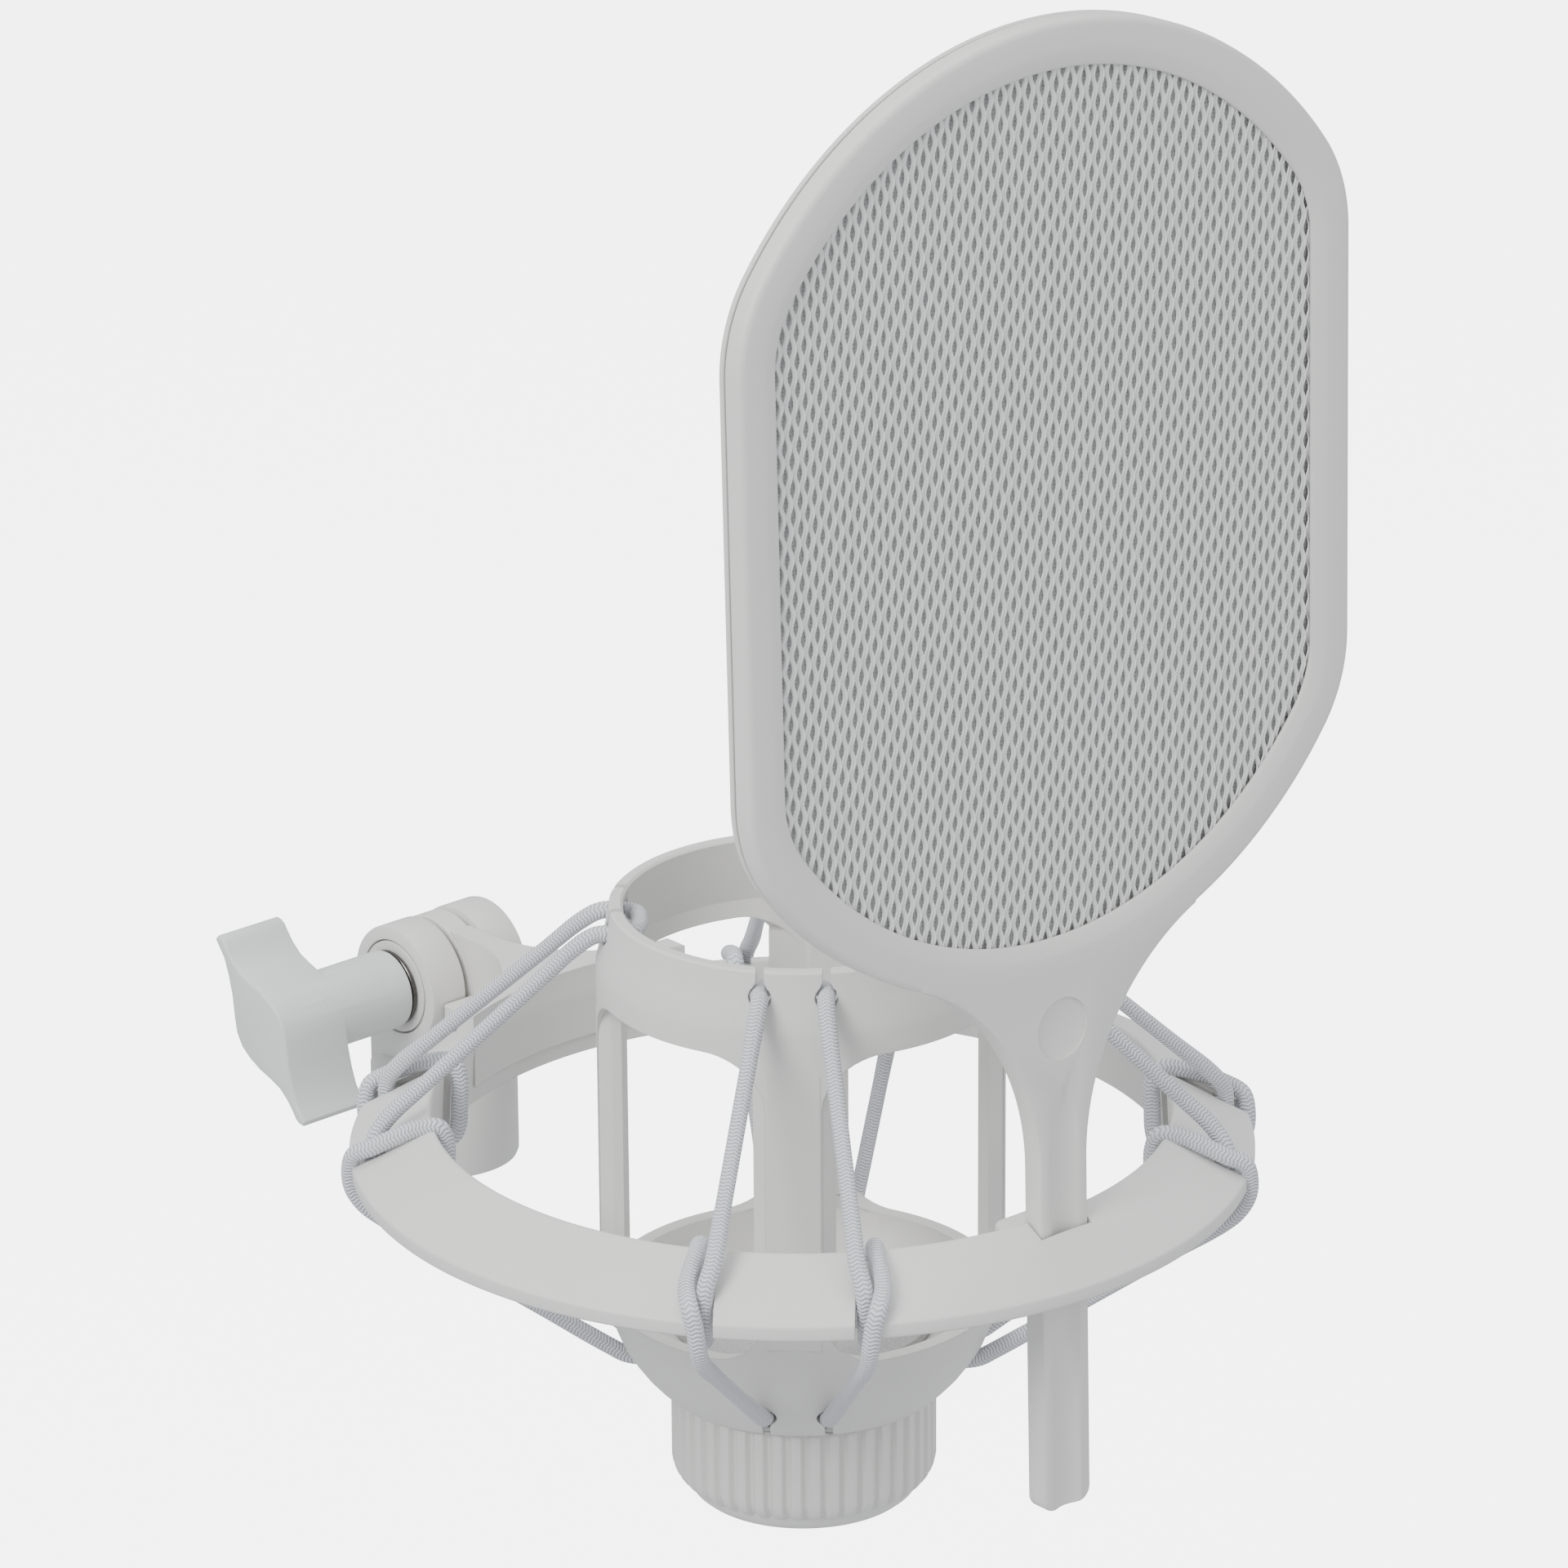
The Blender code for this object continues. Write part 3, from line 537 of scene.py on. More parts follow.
@dataclass(frozen=True)
class BraidedSleeve:
    """Textile sleeve knitted round an elastic core; reads the cord's own UV map."""

    name: str
    wales: int = 10
    stitch: float = 0.00058
    # light is the yarn colour with a painted highlight on the crowns; dark is painted shade in the
    # valleys between the yarns
    light: Colour = (0.84, 0.85, 0.88)
    dark: Colour = (0.46, 0.475, 0.51)

    def make(self) -> bpy.types.Material:
        """The material; U runs once round the cord and V along it in metres."""
        board = Board(self.name)
        uv = board.node("ShaderNodeUVMap", {"uv_map": "UVMap"}, {})
        split = board.node("ShaderNodeSeparateXYZ", {}, {0: uv}, "X")
        along = Wire(board, split.socket.node.outputs["Y"])
        wale = split * float(self.wales)
        across = wale.part() * 2.0 - 1.0
        side = (wale * 0.5).part().math("GREATER_THAN", 0.5) * 2.0 - 1.0
        phase = along / self.stitch + across * side * 0.26
        yarn = (phase * math.pi).sine().size()
        crown = 1.0 - across * across * 0.3
        height = yarn * crown
        fuzz = board.noise(9000.0, 2.0)
        # Colour follows the stitch relief: painted highlight on the yarn crowns, painted shade between
        # the yarns and at the wale edges; the fuzz adds random tone
        board.feed(base_color=board.tint(height * 0.85 + fuzz * 0.15, self.dark, self.light))
        board.feed(roughness=0.72 - height * 0.22)
        board.feed(normal=board.bump(height + fuzz * 0.08, 0.00022, 1.0))
        board.fix(sheen_weight=0.25, sheen_roughness=0.4, specular_ior_level=0.35)
        return board.material


@dataclass(frozen=True)
class CoatedMesh:
    """White coating on the strands of an expanded mesh."""

    name: str
    light: Colour = (0.82, 0.82, 0.80)
    dark: Colour = (0.72, 0.72, 0.70)

    def make(self) -> bpy.types.Material:
        """The material."""
        board = Board(self.name)
        patch = board.noise(260.0, 3.0)
        peel = board.noise(3800.0, 2.0)
        board.feed(base_color=board.tint(patch, self.dark, self.light))
        board.feed(roughness=0.34 + peel * 0.16)
        board.feed(normal=board.bump(peel, 0.00002, 0.5))
        board.fix(specular_ior_level=0.5)
        return board.material


@dataclass(frozen=True)
class WovenScreen:
    """Fine grey screen cloth; its threads cross on object coordinates."""

    name: str
    pitch: float = 0.0006
    light: Colour = (0.66, 0.66, 0.65)
    dark: Colour = (0.34, 0.34, 0.34)

    def make(self) -> bpy.types.Material:
        """The material."""
        board = Board(self.name)
        split = board.node("ShaderNodeSeparateXYZ", {}, {0: board.place()}, "X")
        upward = Wire(board, split.socket.node.outputs["Z"])
        rate = math.pi / self.pitch
        weft = (split * rate).sine().size()
        warp = (upward * rate).sine().size()
        weave = weft.math("MAXIMUM", warp)
        dye = board.noise(300.0, 2.0)
        board.feed(base_color=board.tint(weave * 0.8 + dye * 0.2, self.dark, self.light))
        board.feed(roughness=0.9 - weave * 0.15)
        board.feed(normal=board.bump(weave, 0.00008, 0.8))
        return board.material


@dataclass(frozen=True)
class FoamPad:
    """Matt pad with fine closed pores."""

    name: str
    light: Colour = (0.56, 0.56, 0.55)
    dark: Colour = (0.40, 0.40, 0.39)

    def make(self) -> bpy.types.Material:
        """The material."""
        board = Board(self.name)
        pores = board.node("ShaderNodeTexVoronoi", {}, {"Vector": board.place(), "Scale": 2600.0})
        board.feed(base_color=board.tint(pores, self.light, self.dark))
        board.feed(roughness=0.95 - pores * 0.1)
        board.feed(normal=board.bump(pores, 0.00005, 0.6))
        return board.material


class Finishes:
    """Every finish of the mount, made once."""

    def __init__(self) -> None:
        """Makes the materials."""
        self.plastic = MouldedPlastic("white_plastic_finish").make()
        cool, cool_dark = (0.70, 0.722, 0.702), (0.66, 0.682, 0.664)
        self.knob = MouldedPlastic("knob_plastic_finish", cool, cool_dark, 0.38).make()
        natural, natural_dark = (0.82, 0.82, 0.81), (0.76, 0.76, 0.75)
        self.washer = MouldedPlastic("washer_plastic_finish", natural, natural_dark, 0.5).make()
        black, black_dark = (0.16, 0.15, 0.145), (0.09, 0.085, 0.08)
        self.dark_steel = TurnedMetal("dark_steel_finish", black, black_dark, 0.28).make()
        zinc, zinc_dark = (0.55, 0.55, 0.56), (0.40, 0.40, 0.41)
        self.steel = TurnedMetal("zinc_steel_finish", zinc, zinc_dark, 0.32).make()
        gold, gold_dark = (0.76, 0.58, 0.30), (0.60, 0.44, 0.20)
        self.brass = TurnedMetal("brass_finish", gold, gold_dark, 0.34).make()
        self.cord = BraidedSleeve("braided_cord_finish").make()
        self.mesh = CoatedMesh("coated_mesh_finish").make()
        self.screen = WovenScreen("screen_finish").make()
        self.pad = FoamPad("pad_finish").make()

    def dress_hidden(self) -> None:
        """Gives the CAD nodes that stay in the model their procedural finishes."""
        wanted = {
            "base_pad": self.pad,
            "nut_snap_ring": self.steel,
            "clamp_nut": self.steel,
            "clamp_screw": self.steel,
            "thread_insert": self.brass,
            "friction_washer_near": self.washer,
            "friction_washer_far": self.washer,
            "filter_screen": self.screen,
        }
        for name, material in wanted.items():
            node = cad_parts[name]
            node.data.materials.clear()
            node.data.materials.append(material)
            LOG.info("%s: CAD node with %s", name, material.name)


# ------------------------------------------------------------------ stations


def station_angles() -> dict[str, float]:
    """Angle of each cord station about the microphone's axis, in degrees."""
    return {"front_right": -44.0, "rear_right": 46.0, "rear_left": 136.0, "front_left": -134.0}


@dataclass
class Stations:
    """The four cord stations, a quarter turn apart."""

    angles: dict[str, float] = field(default_factory=station_angles)
    top_t: float = 5.0
    top_z: float = 35.0
    base_t: float = 4.8
    base_z: float = -36.0
    hole_r: float = 1.75
    slit: float = 1.2

    def upright(self, angle: float) -> Matrix:
        """Turns a slab drawn as (along the rim, z) so that it runs outwards at a station."""
        return turn(angle + 90.0) @ turn(90.0, "X")


# ------------------------------------------------------------------ outer ring


@dataclass
class OuterRing:
    """Sloping ring with cord tongues, the filter's slot boss and the swivel's arm."""

    outer_r: float = 70.0
    inner_r: float = 57.2
    rise: float = 6.0
    rim: float = 2.8
    wall_low: float = -5.4
    tongue: float = 10.4
    notch: float = 3.9
    notch_floor: float = 63.6
    groove_wall: float = 56.9
    groove_depth: float = 1.2
    knuckle_r: float = 9.9
    knuckle_half: float = 2.1
    arm_low: float = -2.6
    arm_top: float = 9.5
    arm_foot: float = 22.0
    slope: float = 27.3
    play: float = 0.03
    steps: int = 288

    def section(self) -> list[Point2]:
        """Section of the ring with rounded edges."""
        top = arc((self.inner_r + 0.7, self.rise - 0.7), 0.7, 180.0, 62.0, 4)
        edge = arc((self.outer_r - 0.6, -0.75), 0.6, 62.0, 0.0, 4)
        foot = arc((self.outer_r - 0.5, -self.rim + 0.5), 0.5, 0.0, -90.0, 3)
        under = [(67.8, -self.rim), (66.6, -1.4), (60.2, 1.8)]
        wall = [(60.2, self.wall_low), (57.8, self.wall_low)]
        return [*top, *edge, *foot, *under, *wall]

    def cord_cutters(self, stations: Stations) -> list[bpy.types.Object]:
        """Notches in the rim and grooves across the top, on both sides of each tongue.

        Args:
            stations: Cord stations.

        Returns:
            The cutters.
        """
        slope = math.tan(math.radians(self.slope))
        wall, outer = self.groove_wall, self.outer_r + 3.0
        level = self.rise - self.groove_depth
        side = [(50.0, 20.0), (50.0, -12.0), (wall, -12.0), (wall, level - 0.5)]
        side += [(wall + 0.5, level - 0.1), (outer, level - slope * (outer - wall)), (outer, 20.0)]
        cutters = []
        for angle in stations.angles.values():
            for sign in (-1, 1):
                low = min(sign * self.tongue, sign * (self.tongue + self.notch))
                high = low + self.notch
                inner = self.notch_floor
                floor = [(inner, low), (76.0, low), (76.0, high), (inner, high)]
                cutters.append(Bench.placed(Bench.slab("notch", floor, -12.0, 12.0), turn(angle)))
                groove = Bench.slab("groove", side, -high + self.play, -low - self.play)
                cutters.append(Bench.placed(groove, turn(angle) @ turn(90.0, "X")))
        return cutters

    def arm(self) -> bpy.types.Object:
        """Arm that fans out from the centre knuckle to the ring."""
        half = self.knuckle_half - 0.1
        start = HINGE[1] - self.knuckle_r - 0.9
        sweep = self.arm_foot - half
        right = [(half, HINGE[1] - 5.0), *arc((half + sweep, start), sweep, 180.0, 270.0, 24)]
        right.append((self.arm_foot, 50.0))
        plan = [(-x, y) for x, y in reversed(right)] + right
        arm = Bench.slab("arm", plan, self.arm_low, self.arm_top)
        radius = self.inner_r + 0.05
        bore = Bench.spun("arm_bore", [(0, 30), (radius, 30), (radius, -30), (0, -30)], self.steps)
        return Bench.work(arm, Join.CUT, bore)

    def knuckle(self) -> bpy.types.Object:
        """Centre knuckle with the screw's bore."""
        r, half = self.knuckle_r, self.knuckle_half
        section = [(r - 0.3, half), (r, half - 0.3), (r, 0.3 - half), (r - 0.3, -half)]
        section += [(3.3, -half), (3.3, half)]
        return Bench.placed(Bench.spun("knuckle", section, 96), shift(*HINGE) @ ALONG_X)

    def build(
        self, stations: Stations, filter_place: Matrix, front: Matrix, finish: bpy.types.Material
    ) -> None:
        """Models the ring.

        Args:
            stations: Cord stations.
            filter_place: Place of the filter's front plane.
            front: Turn of the ring's front towards the filter.
            finish: Its material.
        """
        ring = Bench.spun("ring_shell", self.section(), self.steps)
        corner = 2.5
        boss_plan = [(-8.0, -63.0), (8.0, -63.0)]
        boss_plan += arc((8.0 - corner, -52.4 - corner), corner, 0.0, 90.0, 8)
        boss_plan += arc((corner - 8.0, -52.4 - corner), corner, 90.0, 180.0, 8)
        boss = Bench.slab("slot_boss", boss_plan, self.wall_low + 0.4, self.rise - 0.9)
        Bench.soften(boss, 0.5, 60.0)
        slope_line = [(40.0, 15.1), (40.0, 30.0), (90.0, 30.0), (90.0, -10.7)]
        above = Bench.spun("boss_trim", slope_line, self.steps)
        Bench.work(boss, Join.CUT, above)
        Bench.work(ring, Join.ADD, Bench.placed(boss, front))
        slot = [(-5.0, -4.25), (5.0, -4.25), (5.0, 0.35), (-5.0, 0.35)]
        slot_tool = Bench.slab("slot", slot, -30.0, 30.0)
        Bench.placed(slot_tool, filter_place @ turn(90.0, "X"))
        Bench.work(ring, Join.CUT, slot_tool, *self.cord_cutters(stations))
        tab_plan = [(-8.4, 60.0), (8.4, 60.0), (8.4, 77.0), (7.8, 77.6), (-7.8, 77.6), (-8.4, 77.0)]
        tab = Bench.slab("tab", tab_plan, -self.rim + 0.05, 0.05)
        Bench.work(ring, Join.ADD, self.arm(), tab, self.knuckle())
        finished(ring, finish, "white_plastic", Body.RING, "outer_ring")


# ------------------------------------------------------------------ cradle


@dataclass
class Cradle:
    """Slotted microphone cradle: top band, four posts, bowl and collar."""

    radius: float = 31.5
    top: float = 39.0
    band_low: float = 25.6
    post_inner: float = 27.3
    bowl_rim: float = -25.2
    window_half: float = 19.0
    window_turn: float = 1.0
    corner: float = 8.5
    seat: float = -31.5
    skirt: float = -41.0
    steps: int = 224

    def section(self) -> list[Point2]:
        """Section of the shell."""
        band = [(29.0, self.top), (29.4, self.top - 0.35), (30.1, 34.5), (30.3, 33.9), (31.35, 30.2)]
        post = [(31.5, 29.2), (31.5, -19.0)]
        bowl = [
            (31.4, -22.0), (31.0, -25.0), (30.4, -28.0), (29.5, -30.7), (28.5, -33.2), (27.1, -35.5),
            (25.6, -37.6), (24.1, -39.3), (22.9, -40.5), (22.3, self.skirt), (20.6, self.skirt),
            (23.6, -37.0), (23.9, -34.0),
        ]
        collar = [
            (14.6, -34.0), (14.6, -44.9), (13.6, -44.9), (13.6, -46.3), (14.6, -46.3), (14.6, -48.0),
            (12.8, -48.0), (12.8, self.seat),
        ]
        inside = [
            (24.4, self.seat), (26.2, -30.0), (27.6, -27.6), (28.6, -25.2), (self.post_inner, -19.0),
            (self.post_inner, 24.6), (29.1, 28.0), (27.2, self.top - 0.4), (27.6, self.top),
        ]
        return [*band, *post, *bowl, *collar, *inside]

    def window_outline(self) -> list[Point2]:
        """Elevation of a window."""
        x, r = self.window_half - self.corner, self.corner
        low, high = self.bowl_rim + r, self.band_low - r
        corners = [(x, low), (x, high), (-x, high), (-x, low)]
        outline = []
        for quarter, corner in enumerate(corners):
            start = 90.0 * quarter - 90.0
            outline += arc(corner, r, start, start + 90.0, 12)
        return outline

    def post(self, angle: float) -> bpy.types.Object:
        """One post, chamfered outside and parallel inside."""
        half = [(self.post_inner, 6.2), (28.9, 6.2), (30.7, 4.6), (31.35, 4.0)]
        plan = [(x, -y) for x, y in half] + [(x, y) for x, y in reversed(half)]
        post = Bench.slab("post", plan, self.bowl_rim + 2.8, self.band_low - 2.8)
        return Bench.placed(post, turn(angle))

    def keyhole(
        self, stations: Stations, angle: float, tangent: float, z: float, edge: float
    ) -> list[bpy.types.Object]:
        """Cutters for a cord hole and the slit that leads to it.

        Args:
            stations: Cord stations.
            angle: Station's angle.
            tangent: Hole's place along the rim.
            z: Hole's height.
            edge: Height just past the edge where the slit opens.

        Returns:
            Hole and slit cutters.
        """
        upright = stations.upright(angle)
        way = 1.0 if edge > z else -1.0
        half, r = stations.slit / 2, stations.hole_r
        hole = Bench.slab("cord_hole", arc((tangent, z), r, 0.0, 352.0, 44), 22.4, 40.0)
        flank, start, shoulder = r * 0.72, z + way * r * 0.6, z + way * r * 1.35
        left = [(tangent - flank, start), (tangent - half, shoulder), (tangent - half, edge)]
        right = [(tangent + half, edge), (tangent + half, shoulder), (tangent + flank, start)]
        slit = left + right
        cutter = Bench.slab("slit", slit, 20.7, 40.0)
        return [Bench.placed(hole, upright), Bench.placed(cutter, upright)]

    def build(self, stations: Stations, finish: bpy.types.Material) -> None:
        """Models the cradle."""
        shell = Bench.spun("cradle_shell", self.section(), self.steps)
        windows = []
        for quarter in (0.0, 90.0):
            window = Bench.slab("window", self.window_outline(), -45.0, 45.0)
            windows.append(Bench.placed(window, turn(quarter + self.window_turn) @ turn(90.0, "X")))
        Bench.work(shell, Join.CUT, *windows)
        Bench.work(shell, Join.ADD, *[self.post(angle) for angle in stations.angles.values()])
        for angle in stations.angles.values():
            for sign in (-1, 1):
                for tangent, z, edge in (
                    (stations.top_t, stations.top_z, self.top + 2.0),
                    (stations.base_t, stations.base_z, self.skirt - 1.0),
                ):
                    tools = self.keyhole(stations, angle, sign * tangent, z, edge)
                    Bench.work(shell, Join.CUT, *tools)
        finished(shell, finish, "white_plastic", Body.CRADLE, "cradle")


# ------------------------------------------------------------------ nut


@dataclass
class KnurledNut:
    """Locking nut with broad flat ribs."""

    radius: float = 20.8
    top: float = -41.5
    bottom: float = -59.8
    ribs: int = 44
    depth: float = 0.75
    rib_edge: float = 0.80
    rib_flank: float = 0.34
    per_rib: int = 12

    def loop(self, radius: float, z: float, depth: float) -> list[Point3]:
        """One turn of the knurl.

        Args:
            radius: Radius over the ribs.
            z: Height.
            depth: Depth of the grooves.

        Returns:
            Its points.
        """
        points = []
        total = self.ribs * self.per_rib
        for i in range(total):
            place = (i % self.per_rib) / self.per_rib
            from_middle = abs(place - 0.5) * 2.0
            rib = min(1.0, max(0.0, (self.rib_edge - from_middle) / self.rib_flank))
            fall = depth * (1.0 - rib * rib * (3.0 - 2.0 * rib))
            angle = math.tau * i / total
            r = radius - fall
            points.append((r * math.cos(angle), r * math.sin(angle), z))
        return points

    def build(self, finish: bpy.types.Material) -> None:
        """Models the nut from its bore, over the knurl and back."""
        r, d = self.radius, self.depth
        outside = [
            (r - 1.2, self.top, 0.0), (r - 0.5, self.top - 0.15, 0.1), (r - 0.1, self.top - 0.6, d),
            (r, -42.6, d), (r, -48.0, d), (r, -54.0, d), (r - 0.15, -54.8, d), (r - 0.5, -55.7, d),
            (r - 1.0, -56.4, d), (r - 1.45, -56.8, d * 0.9), (r - 1.8, -56.95, d * 0.4),
            (r - 2.1, -57.05, 0.0), (r - 2.4, -57.8, 0.0), (r - 3.0, -58.8, 0.0), (r - 3.8, -59.5, 0.0),
            (r - 4.6, self.bottom, 0.0), (12.4, self.bottom, 0.0), (11.8, -59.2, 0.0),
            (11.8, -49.0, 0.0), (15.1, -49.0, 0.0), (15.1, -46.3, 0.0), (16.6, -46.3, 0.0),
            (16.6, -44.9, 0.0), (15.1, -44.9, 0.0), (15.1, self.top, 0.0),
        ]
        nut = Bench.raised("nut_body", [self.loop(*where) for where in outside], closed=True)
        finished(nut, finish, "white_plastic", Body.NUT, "mic_nut", angle=38.0)


# ------------------------------------------------------------------ cords


@dataclass
class ElasticCord:
    """One closed elastic loop: cradle top, wrap round the ring, cradle base and back."""

    name: str
    angle: float
    radius: float = 1.35
    stretched: float = 1.24
    sides: int = 16
    samples: int = 6
    free_from: float = 34.0
    free_to: float = 63.0
    fade: float = 6.0
    half: tuple[Point3, ...] = (
        (25.5, 3.6, 35.0), (27.7, 5.0, 35.0), (31.4, 5.0, 34.9), (34.6, 5.35, 33.0),
        (40.0, 6.3, 28.15), (58.0, 9.5, 12.0), (64.0, 10.6, 6.6), (66.2, 11.6, 3.6),
        (66.6, 11.95, 0.6), (66.3, 11.95, -2.6), (64.6, 11.95, -5.0), (61.8, 12.0, -6.8),
        (58.8, 12.1, -7.4), (56.2, 12.3, -5.8), (55.5, 12.4, 0.0), (55.5, 12.5, 3.6),
        (56.7, 12.9, 6.1), (60.0, 13.3, 5.9), (63.4, 14.0, 4.8), (66.8, 14.4, 3.3),
        (69.6, 13.8, 1.7), (70.2, 13.1, -1.0), (69.9, 12.7, -4.2), (68.3, 12.4, -7.0),
        (66.2, 12.05, -9.0), (58.0, 10.6, -14.7), (38.0, 6.9, -28.7), (30.4, 5.4, -34.0),
        (28.0, 5.0, -35.5), (25.8, 4.8, -36.0), (22.8, 4.8, -36.0), (20.2, 3.1, -36.0),
    )

    def knots(self) -> list[Vector]:
        """Points of the whole loop in the station's frame, x outwards and y along the rim."""
        near = [Vector((math.sqrt(r * r - t * t), t, z)) for r, t, z in self.half]
        return near + [Vector((p.x, -p.y, p.z)) for p in reversed(near)]

    def path(self) -> list[Vector]:
        """Smooth closed curve through the knots, by centripetal Catmull-Rom stretches."""
        knots = self.knots()
        count = len(knots)
        points = []
        for i in range(count):
            p0, p1, p2, p3 = (knots[(i + k) % count] for k in (-1, 0, 1, 2))
            times = [0.0]
            for a, b in ((p0, p1), (p1, p2), (p2, p3)):
                times.append(times[-1] + (b - a).length ** 0.5)
            steps = self.samples * (4 if (p2 - p1).length > 15.0 else 1)
            for s in range(steps):
                t = times[1] + (times[2] - times[1]) * s / steps
                a1 = p0.lerp(p1, (t - times[0]) / (times[1] - times[0]))
                a2 = p1.lerp(p2, (t - times[1]) / (times[2] - times[1]))
                a3 = p2.lerp(p3, (t - times[2]) / (times[3] - times[2]))
                b1 = a1.lerp(a2, (t - times[0]) / (times[2] - times[0]))
                b2 = a2.lerp(a3, (t - times[1]) / (times[3] - times[1]))
                points.append(b1.lerp(b2, (t - times[1]) / (times[2] - times[1])))
        return points

    def thickness(self, point: Vector) -> float:
        """Radius at a point: the long free runs are drawn thinner."""
        reach = math.hypot(point.x, point.y)
        inner = max((reach - self.free_from) / self.fade, 0.0)
        outer = max((self.free_to - reach) / self.fade, 0.0)
        free = min(inner, outer, 1.0)
        if abs(point.z) < 8.0 and reach > 50.0:
            free = 0.0
        return self.radius + (self.stretched - self.radius) * free

    def build(self, finish: bpy.types.Material) -> None:
        """Models the tube with its own UV map, from cradle to ring."""
        path = self.path()
        count, sides = len(path), self.sides
        lean = Vector((0.0, 0.0, 1.0))
        vertices, travel = [], [0.0]
        start = None
        for i, point in enumerate(path):
            ahead = (path[(i + 1) % count] - path[i - 1]).normalized()
            lean = (lean - ahead * lean.dot(ahead)).normalized()
            start = start or lean.copy()
            across = ahead.cross(lean)
            r = self.thickness(point)
            for s in range(sides):
                a = math.tau * s / sides
                vertices.append((point + (lean * math.cos(a) + across * math.sin(a)) * r) * MM)
            travel.append(travel[-1] + (path[(i + 1) % count] - point).length * MM)
        first = (path[1] - path[-1]).normalized()
        end = (lean - first * lean.dot(first)).normalized()
        twist = round(math.atan2(first.dot(start.cross(end)), start.dot(end)) / math.tau * sides)
        faces, corners = [], []
        for i in range(count):
            last = i == count - 1
            offset = twist if last else 0
            for s in range(sides):
                low = [i * sides + s, i * sides + (s + 1) % sides]
                ahead_row = (i + 1) % count * sides
                high = [ahead_row + (s + 1 + offset) % sides, ahead_row + (s + offset) % sides]
                faces.append((*low, *high))
                left, right = s / sides, (s + 1) / sides
                start_v, end_v = travel[i], travel[i + 1]
                corners += [(left, start_v), (right, start_v), (right, end_v), (left, end_v)]
        mesh = bpy.data.meshes.new(self.name)
        mesh.from_pydata(vertices, [], faces)
        layer = mesh.uv_layers.new(name="UVMap")
        for loop, corner in zip(layer.data, corners):
            loop.uv = corner
        cord = bpy.data.objects.new(self.name + "_braid", mesh)
        bpy.context.scene.collection.objects.link(cord)
        Bench.outwards(cord)
        Bench.placed(cord, MOUNT @ turn(self.angle))
        Bench.shaded(cord, 80.0)
        mesh.materials.append(finish)
        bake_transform(cord)
        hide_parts(self.name)
        LOG.info("%s: loop of %.0f mm", cord.name, travel[-1] / MM)


# ------------------------------------------------------------------ swivel


